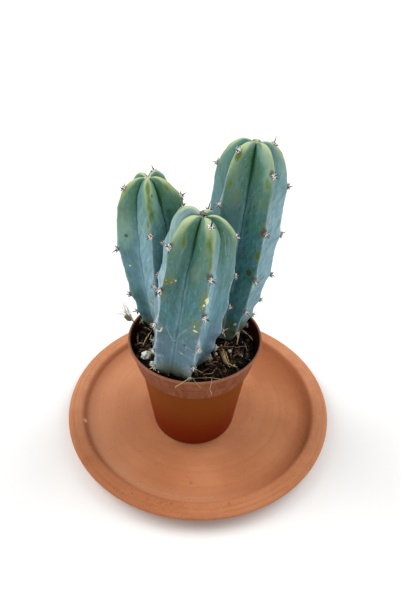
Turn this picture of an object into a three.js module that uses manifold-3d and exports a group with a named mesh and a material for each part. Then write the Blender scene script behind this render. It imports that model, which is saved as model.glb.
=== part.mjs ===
import * as THREE from 'three';
import { mergeVertices } from 'three/addons/utils/BufferGeometryUtils.js';
import Module from 'manifold-3d';

// Potted blue myrtle cactus: three ribbed columns in a thin plastic nursery pot, filled with
// peaty soil and standing on a wide, shallow terracotta saucer. Millimetres, +Z up. The origin
// is the centre of the saucer's underside and the front of the plant faces -Y.

const seatGap = 0.3; // clearance between pieces that stand or lie on each other

const saucer = {
  rimRadius: 71.3, // outer edge of the rim
  rimHeight: 8.0,
  rimInner: 63.3, // where the rim drops to the floor
  floorRadius: 59.6,
  floorHeight: 4.4,
  baseRadius: 61,
  segments: 48,
};

const pot = {
  x: -2.4, // the pot stands a little off the saucer's centre
  y: -8.3,
  height: 55.6,
  rimRadius: 32, // a 64 mm nursery pot
  lip: 0.5, // how far the rim stands out from the collar
  wall: 0.85,
  collarRadius: 28.3, // outer radius at the collar's lower edge
  collarHeight: 14.0,
  bodyRadius: 26.8, // outer radius of the body just under the collar
  baseRadius: 21.7,
  floor: 1.1,
  footRecess: 0.9,
  drainHoles: 4,
  drainRadius: 2.4,
  drainCircle: 13,
  segments: 36,
};
const potBottom = saucer.floorHeight + seatGap;
const potTop = potBottom + pot.height;

const soil = {
  level: 55.0, // mean surface above the saucer's underside
  swell: 0.5, // height of the surface's unevenness
  leftBank: 1.3, // the soil lies higher at the left and lower at the back right
  rightHollow: 0.9,
  edgeDrop: 1.2, // how far it falls away at the pot's wall
  rings: [0, 5.5, 11, 16, 21, 26.6],
  crumbs: 18,
  crumbSize: [0.9, 2.0],
  fibres: 8,
  fibreHalf: [3, 5.5],
  fibreSection: [0.45, 0.35],
  seed: 41,
};

// Each column: foot and tip give its leaning axis, girth is the widest crest radius, footRatio
// and girthAt say how it narrows down, shoulder how it closes over the top. turn is the bearing
// of the first rib, groove the depth of the grooves low and high, and lift how much further each
// rib arches over the top. skew turns single ribs off their even spacing, in degrees. areoles are
// the heights of the spine cushions up each rib in turn.
const ribCount = 5;
const columns = [
  {
    name: 'stem_front', foot: [-10.4, -23.6], tip: [0.0, -20.2, 129.0], girth: 16.5,
    footRatio: 0.62, girthAt: 0.42, flare: 0.6, shoulder: [3.9, 3.0], turn: -68, twist: -3,
    groove: [0.68, 0.57], bow: [0.2, 0.0], lift: [0, 0.3, 0, 1.2, 0.2], skew: [0, 0, 0, -3, 5], root: 12,
    rings: 20, seed: 7,
    areoles: [
      [4.8, 12.3, 23.3, 39.2, 56, 73.4], [5.2, 11.8, 21.5, 34.7, 50.2, 66.8],
      [6.5, 15.5, 28, 43.5, 59.5, 73], [6, 14, 25.3, 39.8, 55.3, 72.3], [7, 16.5, 30, 46, 64],
    ],
  },
  {
    name: 'stem_left', foot: [-18.2, 4.0], tip: [-23.6, 6.9, 132.7], girth: 16.5,
    footRatio: 0.43, girthAt: 0.61, flare: 0.82, shoulder: [2.75, 2.15], turn: -91, twist: 12,
    groove: [0.63, 0.55], bow: [0.3, -0.4], lift: [0, 0.2, 1.7, 1.2, 0.2], skew: [1, 3, 0, 0, 0], root: 12,
    rings: 20, seed: 19,
    areoles: [
      [6, 17, 34.5, 58], [10, 24, 45, 69], [6, 15, 31, 53.5, 77.1], [9, 22, 41, 65],
      [5.5, 12, 22.6, 47.6, 73.6],
    ],
  },
  {
    name: 'stem_right', foot: [12.7, 0.2], tip: [20.3, 8.6, 147.6], girth: 17.2,
    footRatio: 0.42, girthAt: 0.51, flare: 1.0, shoulder: [3.8, 2.7], turn: -64.5, twist: 6,
    groove: [0.63, 0.52], bow: [0.1, 0.5], lift: [0.2, 0.2, 0, 0.6, 0], skew: [0, 0, 0, 0, 0], root: 13,
    rings: 23, seed: 23,
    areoles: [
      [7, 21.2, 38.3, 60.2, 82.8], [5, 11.2, 19.8, 33.5, 53.6, 75.3, 91.9],
      [6, 16, 29, 46, 67, 87.5], [9, 19, 34, 56, 81], [6, 14, 27, 47, 69.4, 90],
    ],
  },
];
const raysPerRib = 6;
const flank = {
  crestRound: 0.06,
  plumpPower: 2.3,
  fullness: [0.1, 0.5], // flat flanks below, plumper lobes over the top
  plumpFrom: [0.8, 1.0],
};
const notch = { depth: [0.02, 0.07], width: 0.07, from: [0.3, 0.95] }; // crease along a groove
const liftFrom = [0.8, 0.95]; // fractions of the height over which a rib's lift grows
const apexShare = 0.4; // the apex lies where the crest radius is this share of the girth or less
const apexDip = 1.5; // the growing point lies a little below the tops of the ribs
const grooveSink = 3.4; // how far the grooves drop between the arched rib tops
const sinkShare = 0.714; // share of the girth under which that drop eases off
const creaseShare = 0.45; // the part of that drop which falls in the crease

const cushion = { radius: 1.65, height: 0.85, rootDepth: 1.0, sides: 5 };
const spine = {
  radius: 0.32,
  rootDepth: 0.7,
  radials: 2,
  radial: { length: 2.4, lean: [1.0, 1.25] }, // lean away from the areole's own direction, radians
  central: { length: 3.2, lean: [0.2, 0.4] },
  crowded: 0.55, // a spine that would meet a neighbour grows this much shorter
};

const perliteLump = { x: -24.6, y: -20.2, radius: 2.3 };
const barkChip = { bearing: 168, length: 11, width: 3.0, thickness: 2.3, slope: 31, overhang: 4.9 };

const wasm = await Module();
wasm.setup();

function randomFrom(seed) {
  let state = seed >>> 0;
  return () => {
    state = (Math.imul(state, 1664525) + 1013904223) >>> 0;
    return state / 4294967296;
  };
}

// A closed triangle mesh with shared vertices, turned so that its faces point outwards.
function closedMesh(geometry) {
  const bare = geometry.clone();
  for (const key of Object.keys(bare.attributes)) {
    if (key !== 'position') bare.deleteAttribute(key);
  }
  const merged = mergeVertices(bare, 1e-4);
  const at = merged.attributes.position;
  const index = Array.from(merged.index.array);
  const faces = [];
  let volume = 0;
  const a = new THREE.Vector3();
  const b = new THREE.Vector3();
  const c = new THREE.Vector3();
  for (let i = 0; i < index.length; i += 3) {
    const [p, q, r] = [index[i], index[i + 1], index[i + 2]];
    if (p === q || q === r || r === p) continue;
    faces.push(p, q, r);
    a.fromBufferAttribute(at, p);
    b.fromBufferAttribute(at, q);
    c.fromBufferAttribute(at, r);
    volume += a.dot(b.cross(c));
  }
  if (volume < 0) {
    for (let i = 0; i < faces.length; i += 3) [faces[i], faces[i + 1]] = [faces[i + 1], faces[i]];
  }
  return { vertProperties: new Float32Array(at.array), triVerts: new Uint32Array(faces) };
}

function solidOf(geometry) {
  return new wasm.Manifold(new wasm.Mesh({ numProp: 3, ...closedMesh(geometry) }));
}

// The main body of a solid, without scraps that a cut has left loose.
function mainBody(solid) {
  return solid.decompose().reduce((a, b) => (b.volume() > a.volume() ? b : a));
}

function geometryOf(solid) {
  const mesh = solid.getMesh();
  const geometry = new THREE.BufferGeometry();
  const points = [];
  for (let i = 0; i < mesh.numVert; i++) {
    for (let k = 0; k < 3; k++) points.push(mesh.vertProperties[i * mesh.numProp + k]);
  }
  geometry.setAttribute('position', new THREE.Float32BufferAttribute(points, 3));
  geometry.setIndex(Array.from(mesh.triVerts));
  geometry.computeVertexNormals();
  return geometry;
}

// A turned form about the Z axis from [radius, height] pairs.
function turned(profile, segments) {
  const points = profile.map(([radius, height]) => new THREE.Vector2(radius, height));
  return new THREE.LatheGeometry(points, segments).rotateX(Math.PI / 2);
}

function smooth(low, high, value) {
  const t = THREE.MathUtils.clamp((value - low) / (high - low), 0, 1);
  return t * t * (3 - 2 * t);
}

// Terracotta saucer: flat underside, rounded outer edge, broad rim, hollowed floor.
function buildSaucer() {
  const s = saucer;
  const profile = [
    [0, 0],
    [s.baseRadius, 0],
    [s.baseRadius + 3.6, 1.0],
    [s.rimRadius - 1.5, 4.9],
    [s.rimRadius - 0.3, 6.1],
    [s.rimRadius, s.rimHeight - 1.0],
    [s.rimRadius - 0.8, s.rimHeight - 0.2],
    [s.rimRadius - 3.0, s.rimHeight],
    [s.rimInner + 1.6, s.rimHeight - 0.1],
    [s.rimInner, s.rimHeight - 0.7],
    [s.rimInner - 1.7, s.floorHeight + 1.2],
    [s.floorRadius, s.floorHeight],
    [0, s.floorHeight],
  ];
  return turned(profile, s.segments);
}

function collarInner(height) {
  const low = pot.height - pot.collarHeight + pot.wall;
  const t = (height - low) / (pot.height - low);
  const top = pot.rimRadius - pot.lip - pot.wall * 0.8;
  return THREE.MathUtils.lerp(pot.collarRadius - pot.wall, top, THREE.MathUtils.clamp(t, 0, 1));
}

// Nursery pot: tapered body, a wider collar below the rim, a recessed floor with drain holes.
function buildPot() {
  const p = pot;
  const step = p.height - p.collarHeight;
  const profile = [
    [0, p.footRecess],
    [p.baseRadius - 2.2, p.footRecess],
    [p.baseRadius - 1.6, 0],
    [p.baseRadius - 0.3, 0],
    [p.baseRadius, 0.4],
    [p.bodyRadius, step - 0.2],
    [p.collarRadius, step],
    [p.rimRadius - p.lip, p.height - 1.3],
    [p.rimRadius, p.height - 1.0],
    [p.rimRadius, p.height - 0.2],
    [p.rimRadius - 0.3, p.height],
    [collarInner(p.height), p.height],
    [collarInner(step + p.wall), step + p.wall],
    [p.bodyRadius - p.wall, step + p.wall - 0.3],
    [p.baseRadius - p.wall, p.footRecess + p.floor + 0.5],
    [p.baseRadius - p.wall - 1, p.footRecess + p.floor],
    [0, p.footRecess + p.floor],
  ];
  let body = solidOf(turned(profile, p.segments));
  for (let i = 0; i < p.drainHoles; i++) {
    const angle = (2 * Math.PI * (i + 0.25)) / p.drainHoles;
    const hole = new THREE.CylinderGeometry(p.drainRadius, p.drainRadius, 6, 8).rotateX(Math.PI / 2);
    hole.translate(p.drainCircle * Math.cos(angle), p.drainCircle * Math.sin(angle), 1);
    body = body.subtract(solidOf(hole));
  }
  return geometryOf(body);
}

// Crest radius of a column at a fraction of its height.
function crestRadius(column, fraction) {
  const { girth, footRatio, girthAt, flare, shoulder } = column;
  const f = THREE.MathUtils.clamp(fraction, 0, 1);
  if (f < girthAt) {
    return girth * (footRatio + (1 - footRatio) * Math.sin((f / girthAt) * Math.PI / 2) ** flare);
  }
  const t = (f - girthAt) / (1 - girthAt);
  return girth * Math.max(0, 1 - t ** shoulder[0]) ** (1 / shoulder[1]);
}

function columnHeight(column) {
  const [x, y, z] = column.tip;
  return Math.hypot(x - column.foot[0], y - column.foot[1], z - soil.level);
}

// A rib's cross-section as a share of the crest radius: straight flanks with a softly rounded
// crest, blended with a plump lobe towards the top, and a narrow notch in the groove.
function ribSection(column, fraction, offAngle) {
  const { crestRound, plumpPower, fullness, plumpFrom } = flank;
  const depth = THREE.MathUtils.lerp(...notch.depth, smooth(...notch.from, fraction));
  const wide = THREE.MathUtils.lerp(...column.groove, smooth(0, 0.5, fraction)) + depth;
  const half = Math.PI / ribCount;
  const blunt = (Math.hypot(offAngle, crestRound) - crestRound) / (Math.hypot(1, crestRound) - crestRound);
  const reach = Math.sin(blunt * half) + wide * Math.sin(half - blunt * half);
  const straight = (wide * Math.sin(half)) / reach;
  const plump = wide + (1 - wide) * (1 - offAngle ** plumpPower);
  const full = THREE.MathUtils.lerp(...fullness, smooth(...plumpFrom, fraction));
  const crease = Math.exp(-(((1 - offAngle) / notch.width) ** 2));
  const drop = (1 - creaseShare) * offAngle ** plumpPower + creaseShare * crease;
  return { radius: THREE.MathUtils.lerp(straight, plump, full) - depth * crease, drop };
}

// One point of a column's skin in its own frame. rib counts round the column: whole on a crest,
// half in a groove. grow makes the same form larger all round.
function skinPoint(column, fraction, rib, grow = 0) {
  const near = Math.round(rib);
  const offAngle = Math.abs(rib - near) * 2;
  const bearing = ribBearing(column, rib, fraction);
  const crest = crestRadius(column, fraction) + grow;
  const section = ribSection(column, fraction, offAngle);
  const radius = crest * section.radius;
  const share = crest / column.girth;
  const dip = share < apexShare ? apexDip * (1 - share / apexShare) ** 2 : 0;
  const upper = smooth(column.girthAt, 1, fraction);
  const sink = grooveSink * upper * Math.min(1, share / sinkShare) * section.drop;
  const arch = smooth(...liftFrom, fraction) * smooth(0.05, apexShare, share) * (1 - offAngle ** 2);
  const bend = 4 * fraction * (1 - fraction);
  return new THREE.Vector3(
    radius * Math.cos(bearing) + column.bow[0] * bend,
    radius * Math.sin(bearing) + column.bow[1] * bend,
    fraction * columnHeight(column) - dip - sink + column.lift[near % ribCount] * arch,
  );
}

function ribBearing(column, rib, fraction) {
  const twist = column.twist * (THREE.MathUtils.clamp(fraction, 0, 1) - 0.5);
  const lower = Math.floor(rib);
  const next = column.skew[(lower + 1) % ribCount];
  const skew = THREE.MathUtils.lerp(column.skew[lower % ribCount], next, rib - lower);
  return THREE.MathUtils.degToRad(column.turn + twist + skew + (360 / ribCount) * rib);
}

// Heights of the skin's rings along the crest from the soil to the apex, closer over the top.
function ringFractions(column) {
  const height = columnHeight(column);
  const path = [];
  for (let i = 0; i <= 400; i++) {
    const f = 1 - (1 - i / 400) ** 1.6;
    path.push(new THREE.Vector2(crestRadius(column, f), f * height));
  }
  let travelled = 0;
  const lengths = path.map((p, i) => {
    const closer = 1 + 0.9 * smooth(0.4 * height, height, p.y);
    if (i) travelled += p.distanceTo(path[i - 1]) * closer;
    return travelled;
  });
  const out = [];
  for (let k = 0; k < column.rings; k++) {
    const goal = (travelled * k) / column.rings;
    const i = Math.max(1, lengths.findIndex((l) => l >= goal));
    const t = (goal - lengths[i - 1]) / (lengths[i] - lengths[i - 1] || 1);
    out.push(THREE.MathUtils.lerp(path[i - 1].y, path[i].y, t) / height);
  }
  return out;
}

// The ribbed skin with its root in the soil.
function columnSkin(column, grow = 0) {
  const rootRadius = column.girth * column.footRatio * 0.72;
  const below = [
    { depth: column.root + grow, radius: 0 },
    { depth: column.root + grow, radius: rootRadius * 0.65 + grow },
    { depth: 4, radius: rootRadius + grow },
  ];
  const rings = ringFractions(column);
  const count = below.length + rings.length + 1;
  const segments = ribCount * raysPerRib;
  const blank = Array.from({ length: count }, (_, i) => [i && i < count - 1 ? 10 : 0, i]);
  const geometry = turned(blank, segments);
  const at = geometry.attributes.position;
  for (let i = 0; i <= segments; i++) {
    const ray = i % segments;
    const rib = ray / raysPerRib;
    for (let j = 0; j < count; j++) {
      let p;
      if (j < below.length) {
        const bearing = ribBearing(column, rib, 0);
        const { depth, radius } = below[j];
        p = new THREE.Vector3(radius * Math.cos(bearing), radius * Math.sin(bearing), -depth);
      } else {
        const fraction = rings[j - below.length];
        p = j < count - 1 ? skinPoint(column, fraction, rib, grow) : skinPoint(column, 1, 0);
      }
      at.setXYZ(i * count + j, p.x, p.y, p.z);
    }
  }
  return geometry;
}

// Places a column in the pot: foot on the soil, axis towards its tip.
function columnPose(column) {
  const foot = new THREE.Vector3(column.foot[0], column.foot[1], soil.level);
  const lean = new THREE.Vector3(...column.tip).sub(foot).normalize();
  const turn = new THREE.Quaternion().setFromUnitVectors(new THREE.Vector3(0, 0, 1), lean);
  return new THREE.Matrix4().compose(foot, turn, new THREE.Vector3(1, 1, 1));
}

// True where a point stays off the other columns, the soil and the pot's wall.
function isClear(point, ownName) {
  const fromPot = Math.hypot(point.x - pot.x, point.y - pot.y);
  const wall = collarInner(point.z - potBottom) - 0.7;
  const abovePot = point.z > potTop + 0.8;
  if (!abovePot && (fromPot > wall || point.z < soil.level + 1.6)) return false;
  return columns.every((other) => {
    if (other.name === ownName) return true;
    const local = point.clone().applyMatrix4(columnPose(other).invert());
    const fraction = local.z / columnHeight(other);
    if (fraction < -0.1 || fraction > 1.04) return true;
    return Math.hypot(local.x, local.y) > crestRadius(other, fraction) + 1.8;
  });
}

// An areole on a rib's crest: its place and the direction that it faces.
function areoleAt(column, rib, height) {
  const fraction = height / columnHeight(column);
  const at = (f) => skinPoint(column, f, rib);
  const place = at(fraction);
  const along = at(Math.min(fraction + 0.006, 0.9995)).sub(at(fraction - 0.006)).normalize();
  const bearing = ribBearing(column, rib, fraction);
  const side = new THREE.Vector3(-Math.sin(bearing), Math.cos(bearing), 0);
  const facing = side.clone().cross(along).normalize();
  return { place, along, side, facing };
}

// A cushion with short spines leaning out round a central one, or fewer where there is no room.
function areoleSolids(column, rib, height, random) {
  const { place, along, side, facing } = areoleAt(column, rib, height);
  const pose = columnPose(column);
  const upright = new THREE.Quaternion().setFromUnitVectors(new THREE.Vector3(0, 0, 1), facing);
  const c = cushion;
  const pad = turned([
    [0, -c.rootDepth], [c.radius, -c.rootDepth * 0.4], [c.radius * 0.62, c.height * 0.8], [0, c.height],
  ], c.sides);
  pad.applyQuaternion(upright).translate(place.x, place.y, place.z);
  const out = [solidOf(pad)];
  const start = random() * Math.PI;
  for (let i = 0; i <= spine.radials; i++) {
    const kind = i === spine.radials ? spine.central : spine.radial;
    const spread = THREE.MathUtils.lerp(...kind.lean, random());
    const round = start + (i * 2 * Math.PI) / spine.radials + 0.3 * random();
    const direction = facing.clone().multiplyScalar(Math.cos(spread))
      .addScaledVector(side, Math.sin(spread) * Math.cos(round))
      .addScaledVector(along, Math.sin(spread) * Math.sin(round));
    let reach = kind.length * THREE.MathUtils.lerp(0.85, 1.15, random());
    const root = place.clone().addScaledVector(facing, c.height * 0.55);
    const tipAt = (r) => root.clone().addScaledVector(direction, r).applyMatrix4(pose);
    if (!isClear(tipAt(reach), column.name)) reach *= spine.crowded;
    if (!isClear(tipAt(reach), column.name)) continue;
    const full = reach + spine.rootDepth;
    const needle = new THREE.ConeGeometry(spine.radius, full, 3).translate(0, full / 2 - spine.rootDepth, 0);
    needle.applyQuaternion(new THREE.Quaternion().setFromUnitVectors(new THREE.Vector3(0, 1, 0), direction));
    out.push(solidOf(needle.translate(root.x, root.y, root.z)));
  }
  return out;
}

function buildColumn(column) {
  const random = randomFrom(column.seed);
  let body = solidOf(columnSkin(column));
  column.areoles.forEach((heights, rib) => {
    for (const height of heights) {
      for (const piece of areoleSolids(column, rib, height, random)) body = body.add(piece);
    }
  });
  return geometryOf(mainBody(body));
}

// Height of the soil's surface over its mean level.
function soilRelief(x, y) {
  const rolling = Math.sin(x * 0.31 + 1.2) * Math.cos(y * 0.27 - 0.6) + 0.6 * Math.sin(x * 0.71 - y * 0.53);
  const hollow = soil.rightHollow * smooth(6, 26, (x + y - pot.x - pot.y) * 0.7);
  const bank = soil.leftBank * smooth(6, 24, pot.x - x);
  return soil.swell * rolling - hollow + bank;
}

function barkPose() {
  const bearing = THREE.MathUtils.degToRad(barkChip.bearing);
  const slope = THREE.MathUtils.degToRad(barkChip.slope);
  const radius = pot.rimRadius - 0.6;
  const out = new THREE.Vector3(Math.cos(bearing), Math.sin(bearing), 0);
  const axis = out.clone().multiplyScalar(Math.cos(slope)).add(new THREE.Vector3(0, 0, Math.sin(slope)));
  const lift = (barkChip.thickness / 2 + seatGap + 0.15) / Math.cos(slope);
  const overRim = new THREE.Vector3(pot.x, pot.y, potTop + lift).addScaledVector(out, radius);
  const centre = overRim.addScaledVector(axis, barkChip.overhang - barkChip.length / 2);
  const side = new THREE.Vector3(-Math.sin(bearing), Math.cos(bearing), 0);
  const up = axis.clone().cross(side);
  return new THREE.Matrix4().makeBasis(axis, side, up).setPosition(centre);
}

// A worn lump: a faceted ball whose points are pushed in and out by a fixed rule.
function wornBall(radius, detail, flat, seed) {
  const ball = mergeVertices(new THREE.IcosahedronGeometry(radius, detail).deleteAttribute('normal')
    .deleteAttribute('uv'), 1e-4);
  const random = randomFrom(seed);
  const at = ball.attributes.position;
  for (let i = 0; i < at.count; i++) {
    const push = 0.86 + 0.28 * random();
    at.setXYZ(i, at.getX(i) * push, at.getY(i) * push, at.getZ(i) * push * flat);
  }
  return ball;
}

function buildPerlite(grow = 0) {
  const lump = wornBall(perliteLump.radius + grow, 1, 0.8, 5);
  const z = soil.level + soilRelief(perliteLump.x, perliteLump.y) + 0.9;
  return lump.translate(perliteLump.x, perliteLump.y, z);
}

// A weathered sliver of bark, thicker in the middle than at its broken ends.
function buildBark(grow = 0) {
  const { length, width, thickness } = barkChip;
  const chip = new THREE.CylinderGeometry(width / 2 + grow, width / 2 + grow, length + 2 * grow, 7, 4);
  chip.rotateZ(Math.PI / 2);
  const at = chip.attributes.position;
  for (let i = 0; i < at.count; i++) {
    const x = at.getX(i);
    const along = Math.abs(x) / (length / 2);
    const waist = 1 - 0.35 * Math.min(1, along) ** 3 + 0.07 * Math.sin(x * 1.7);
    at.setXYZ(i, x, at.getY(i) * waist, at.getZ(i) * waist * (thickness / width));
  }
  return chip.applyMatrix4(barkPose());
}

// Soil: fills the pot inside its wall, with an uneven top, crumbs, dry fibres lying on it and a
// plain hole for each column.
function buildSoil() {
  const p = pot;
  const step = p.height - p.collarHeight;
  const floor = p.footRecess + p.floor + seatGap;
  const top = soil.level - potBottom;
  const outer = collarInner(top - soil.edgeDrop) - seatGap - 0.05;
  const profile = [
    [0, floor],
    [p.baseRadius - p.wall - 1 - seatGap, floor],
    [p.baseRadius - p.wall - seatGap, floor + 0.8],
    [p.bodyRadius - p.wall - seatGap - 0.1, step + 0.2],
    [p.collarRadius - p.wall - seatGap - 0.15, step + p.wall + 0.7],
    [outer, top - soil.edgeDrop],
    ...soil.rings.slice(1).reverse().map((r) => [r, top]),
    [0, top],
  ];
  const geometry = turned(profile, p.segments).translate(p.x, p.y, potBottom);
  const at = geometry.attributes.position;
  for (let i = 0; i < at.count; i++) {
    if (Math.abs(at.getZ(i) - soil.level) > 0.01) continue;
    at.setZ(i, soil.level + soilRelief(at.getX(i), at.getY(i)));
  }
  let body = solidOf(geometry);
  const random = randomFrom(soil.seed);
  const spot = (reach) => {
    const radius = reach * Math.sqrt(random());
    const angle = 2 * Math.PI * random();
    return [p.x + radius * Math.cos(angle), p.y + radius * Math.sin(angle)];
  };
  for (let i = 0; i < soil.crumbs; i++) {
    const [x, y] = spot(outer - 3.4);
    const size = THREE.MathUtils.lerp(...soil.crumbSize, random());
    const crumb = wornBall(size, 0, 0.8, 100 + i);
    body = body.add(solidOf(crumb.translate(x, y, soil.level + soilRelief(x, y) + size * 0.1)));
  }
  for (let i = 0; i < soil.fibres; i++) {
    const [x, y] = spot(outer - 8);
    const angle = Math.PI * random();
    const half = THREE.MathUtils.lerp(...soil.fibreHalf, random());
    const sway = 1.2 * (random() - 0.5);
    const points = [-1, 0, 1].map((t) => {
      const px = x + half * t * Math.cos(angle) - sway * (1 - t * t) * Math.sin(angle);
      const py = y + half * t * Math.sin(angle) + sway * (1 - t * t) * Math.cos(angle);
      return new THREE.Vector3(px, py, soil.level + soilRelief(px, py) + 0.25 + 0.5 * random());
    });
    const [wide, thick] = soil.fibreSection;
    const corners = [[wide, 0], [0, thick], [-wide, 0], [0, -thick]];
    const section = new THREE.Shape(corners.map(([u, v]) => new THREE.Vector2(u, v)));
    const straw = new THREE.ExtrudeGeometry(section, {
      steps: 3, bevelEnabled: false, extrudePath: new THREE.CatmullRomCurve3(points),
    });
    body = body.add(solidOf(straw));
  }
  for (const column of columns) {
    body = body.subtract(solidOf(columnSkin(column, seatGap + 0.05).applyMatrix4(columnPose(column))));
  }
  body = body.subtract(solidOf(buildPerlite(seatGap + 0.1)));
  body = body.subtract(solidOf(buildBark(seatGap + 0.05)));
  return geometryOf(mainBody(body));
}

function material(color, roughness, metalness = 0) {
  return new THREE.MeshStandardMaterial({ color, roughness, metalness });
}

const plant = new THREE.Group();
function place(name, geometry, look) {
  const mesh = new THREE.Mesh(geometry, look);
  mesh.name = name;
  plant.add(mesh);
  return mesh;
}

place('saucer', buildSaucer(), material(0xc07f5c, 0.85));
place('nursery_pot', buildPot(), material(0x8a4a30, 0.42)).position.set(pot.x, pot.y, potBottom);
place('soil', buildSoil(), material(0x241a12, 0.95));
place('perlite_lump', buildPerlite(), material(0xd9d6cc, 0.9));
place('bark_chip', buildBark(), material(0x6b5333, 0.9));
for (const column of columns) {
  const mesh = place(column.name, buildColumn(column), material(0x5f9394, 0.62));
  mesh.applyMatrix4(columnPose(column));
}

export default plant;
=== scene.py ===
import math

import bmesh
import bpy
import numpy as np
from mathutils import Matrix, Vector


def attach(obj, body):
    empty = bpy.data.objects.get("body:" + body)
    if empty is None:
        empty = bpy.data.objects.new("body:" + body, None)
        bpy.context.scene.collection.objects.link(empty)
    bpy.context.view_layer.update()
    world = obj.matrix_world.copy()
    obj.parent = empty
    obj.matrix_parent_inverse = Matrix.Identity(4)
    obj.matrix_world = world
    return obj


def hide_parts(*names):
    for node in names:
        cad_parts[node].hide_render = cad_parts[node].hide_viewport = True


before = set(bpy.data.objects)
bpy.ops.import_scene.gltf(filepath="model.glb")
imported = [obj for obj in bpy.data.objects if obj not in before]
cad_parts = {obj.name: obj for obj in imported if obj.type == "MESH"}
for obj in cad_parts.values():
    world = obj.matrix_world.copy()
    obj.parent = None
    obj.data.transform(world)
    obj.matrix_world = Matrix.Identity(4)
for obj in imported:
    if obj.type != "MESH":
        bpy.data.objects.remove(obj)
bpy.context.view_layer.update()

metresPerMm = 0.001  # everything below is worked out in millimetres
print("frame loaded:", len(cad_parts), "nodes")


# Small sums that every piece uses.
def blendStep(low, high, value):
    t = np.clip((value - low) / (high - low), 0, 1)
    return t * t * (3 - 2 * t)


def between(low, high, t):
    return low + (high - low) * t


def unit(v):
    return v / np.linalg.norm(v, axis=-1, keepdims=True)


# A smooth unevenness between about -1 and 1: waves of one length from many directions.
def ripple(points, wavelength, seed, count=14):
    rng = np.random.default_rng(seed)
    heading = unit(rng.normal(size=(count, 3))) * (2 * math.pi / wavelength)
    heading *= rng.uniform(0.7, 1.4, size=(count, 1))
    phase = rng.uniform(0, 2 * math.pi, count)
    return np.sin(points @ heading.T + phase).sum(-1) / math.sqrt(count)


# One socket of a finish. Python's operators on it add Math nodes.
class Wire:
    def __init__(self, finish, socket):
        self.finish = finish
        self.socket = socket

    def worked(self, operation, other, flipped=False):
        pair = {0: other, 1: self} if flipped else {0: self, 1: other}
        return self.finish.node("ShaderNodeMath", {"operation": operation}, pair)

    def __add__(self, other):
        return self.worked("ADD", other)

    def __radd__(self, other):
        return self.worked("ADD", other, True)

    def __sub__(self, other):
        return self.worked("SUBTRACT", other)

    def __rsub__(self, other):
        return self.worked("SUBTRACT", other, True)

    def __mul__(self, other):
        return self.worked("MULTIPLY", other)

    def __rmul__(self, other):
        return self.worked("MULTIPLY", other, True)


# The node tree of one material. Its colour is built up in layers.
class Finish:
    def __init__(self, name):
        self.material = bpy.data.materials.new(name)
        self.material.use_nodes = True
        self.tree = self.material.node_tree
        self.tree.nodes.clear()
        self.colour = None

    def node(self, kind, settings=None, values=None, give=0):
        made = self.tree.nodes.new(kind)
        for key, value in (settings or {}).items():
            setattr(made, key, value)
        for key, value in (values or {}).items():
            if isinstance(value, Wire):
                self.tree.links.new(value.socket, made.inputs[key])
            else:
                made.inputs[key].default_value = paint(value) if isinstance(value, str) else value
        return Wire(self, made.outputs[give]) if len(made.outputs) else None

    def vector(self, operation, values, give=0):
        return self.node("ShaderNodeVectorMath", {"operation": operation}, values, give)

    def spot(self):  # the piece's own coordinates, in millimetres
        own = self.node("ShaderNodeTexCoord", give="Object")
        return self.vector("SCALE", {0: own, "Scale": 1 / metresPerMm})

    def stretched(self, vector, factors):
        return self.vector("MULTIPLY", {0: vector, 1: factors})

    def shifted(self, vector, offset):
        return self.vector("ADD", {0: vector, 1: offset})

    def mask(self, name, give="Fac"):
        return self.node("ShaderNodeAttribute", {"attribute_name": name}, give=give)

    def noise(self, vector, size, detail=3, roughness=0.5, distortion=0.0):
        values = {"Vector": vector, "Scale": 1 / size, "Detail": detail, "Roughness": roughness,
                  "Distortion": distortion}
        return self.node("ShaderNodeTexNoise", None, values, "Fac")

    def cells(self, vector, size):
        return self.node("ShaderNodeTexVoronoi", None, {"Vector": vector, "Scale": 1 / size}, "Distance")

    def ease(self, value, low, high, top=1.0, bottom=0.0):
        values = {"Value": value, "From Min": low, "From Max": high, "To Min": bottom, "To Max": top}
        return self.node("ShaderNodeMapRange", {"interpolation_type": "SMOOTHSTEP"}, values, "Result")

    def mix(self, amount, first, second):
        return self.node("ShaderNodeMix", {"data_type": "RGBA"}, {0: amount, 6: first, 7: second}, 2)

    def lay(self, amount, over):  # one more layer of colour, as strong as the amount
        self.colour = self.mix(amount, self.colour, over)

    def near(self, vector, point, reach):  # 1 at a point, falling to 0 at its reach
        away = self.vector("DISTANCE", {0: vector, 1: point}, "Value")
        return self.ease(away, reach, reach * 0.4)

    def close(self, rough, gloss=0.5, relief=None, depth=0.0):  # depth of the relief in millimetres
        values = {"Base Color": self.colour, "Roughness": rough, "Specular IOR Level": gloss}
        if relief is not None:
            height = {"Height": relief, "Distance": depth * metresPerMm, "Strength": 1.0}
            values["Normal"] = self.node("ShaderNodeBump", None, height, "Normal")
        surface = self.node("ShaderNodeBsdfPrincipled", None, values, "BSDF")
        self.node("ShaderNodeOutputMaterial", None, {"Surface": surface})
        return self.material


# A colour written the way a paint chart writes it, turned to the linear values that nodes use.
def paint(code):
    channels = [int(code[i:i + 2], 16) / 255 for i in (0, 2, 4)]
    return (*[c / 12.92 if c <= 0.04045 else ((c + 0.055) / 1.055) ** 2.4 for c in channels], 1.0)


def placed(name, data):
    thing = bpy.data.objects.new(name, data)
    bpy.context.scene.collection.objects.link(thing)
    return thing


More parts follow.
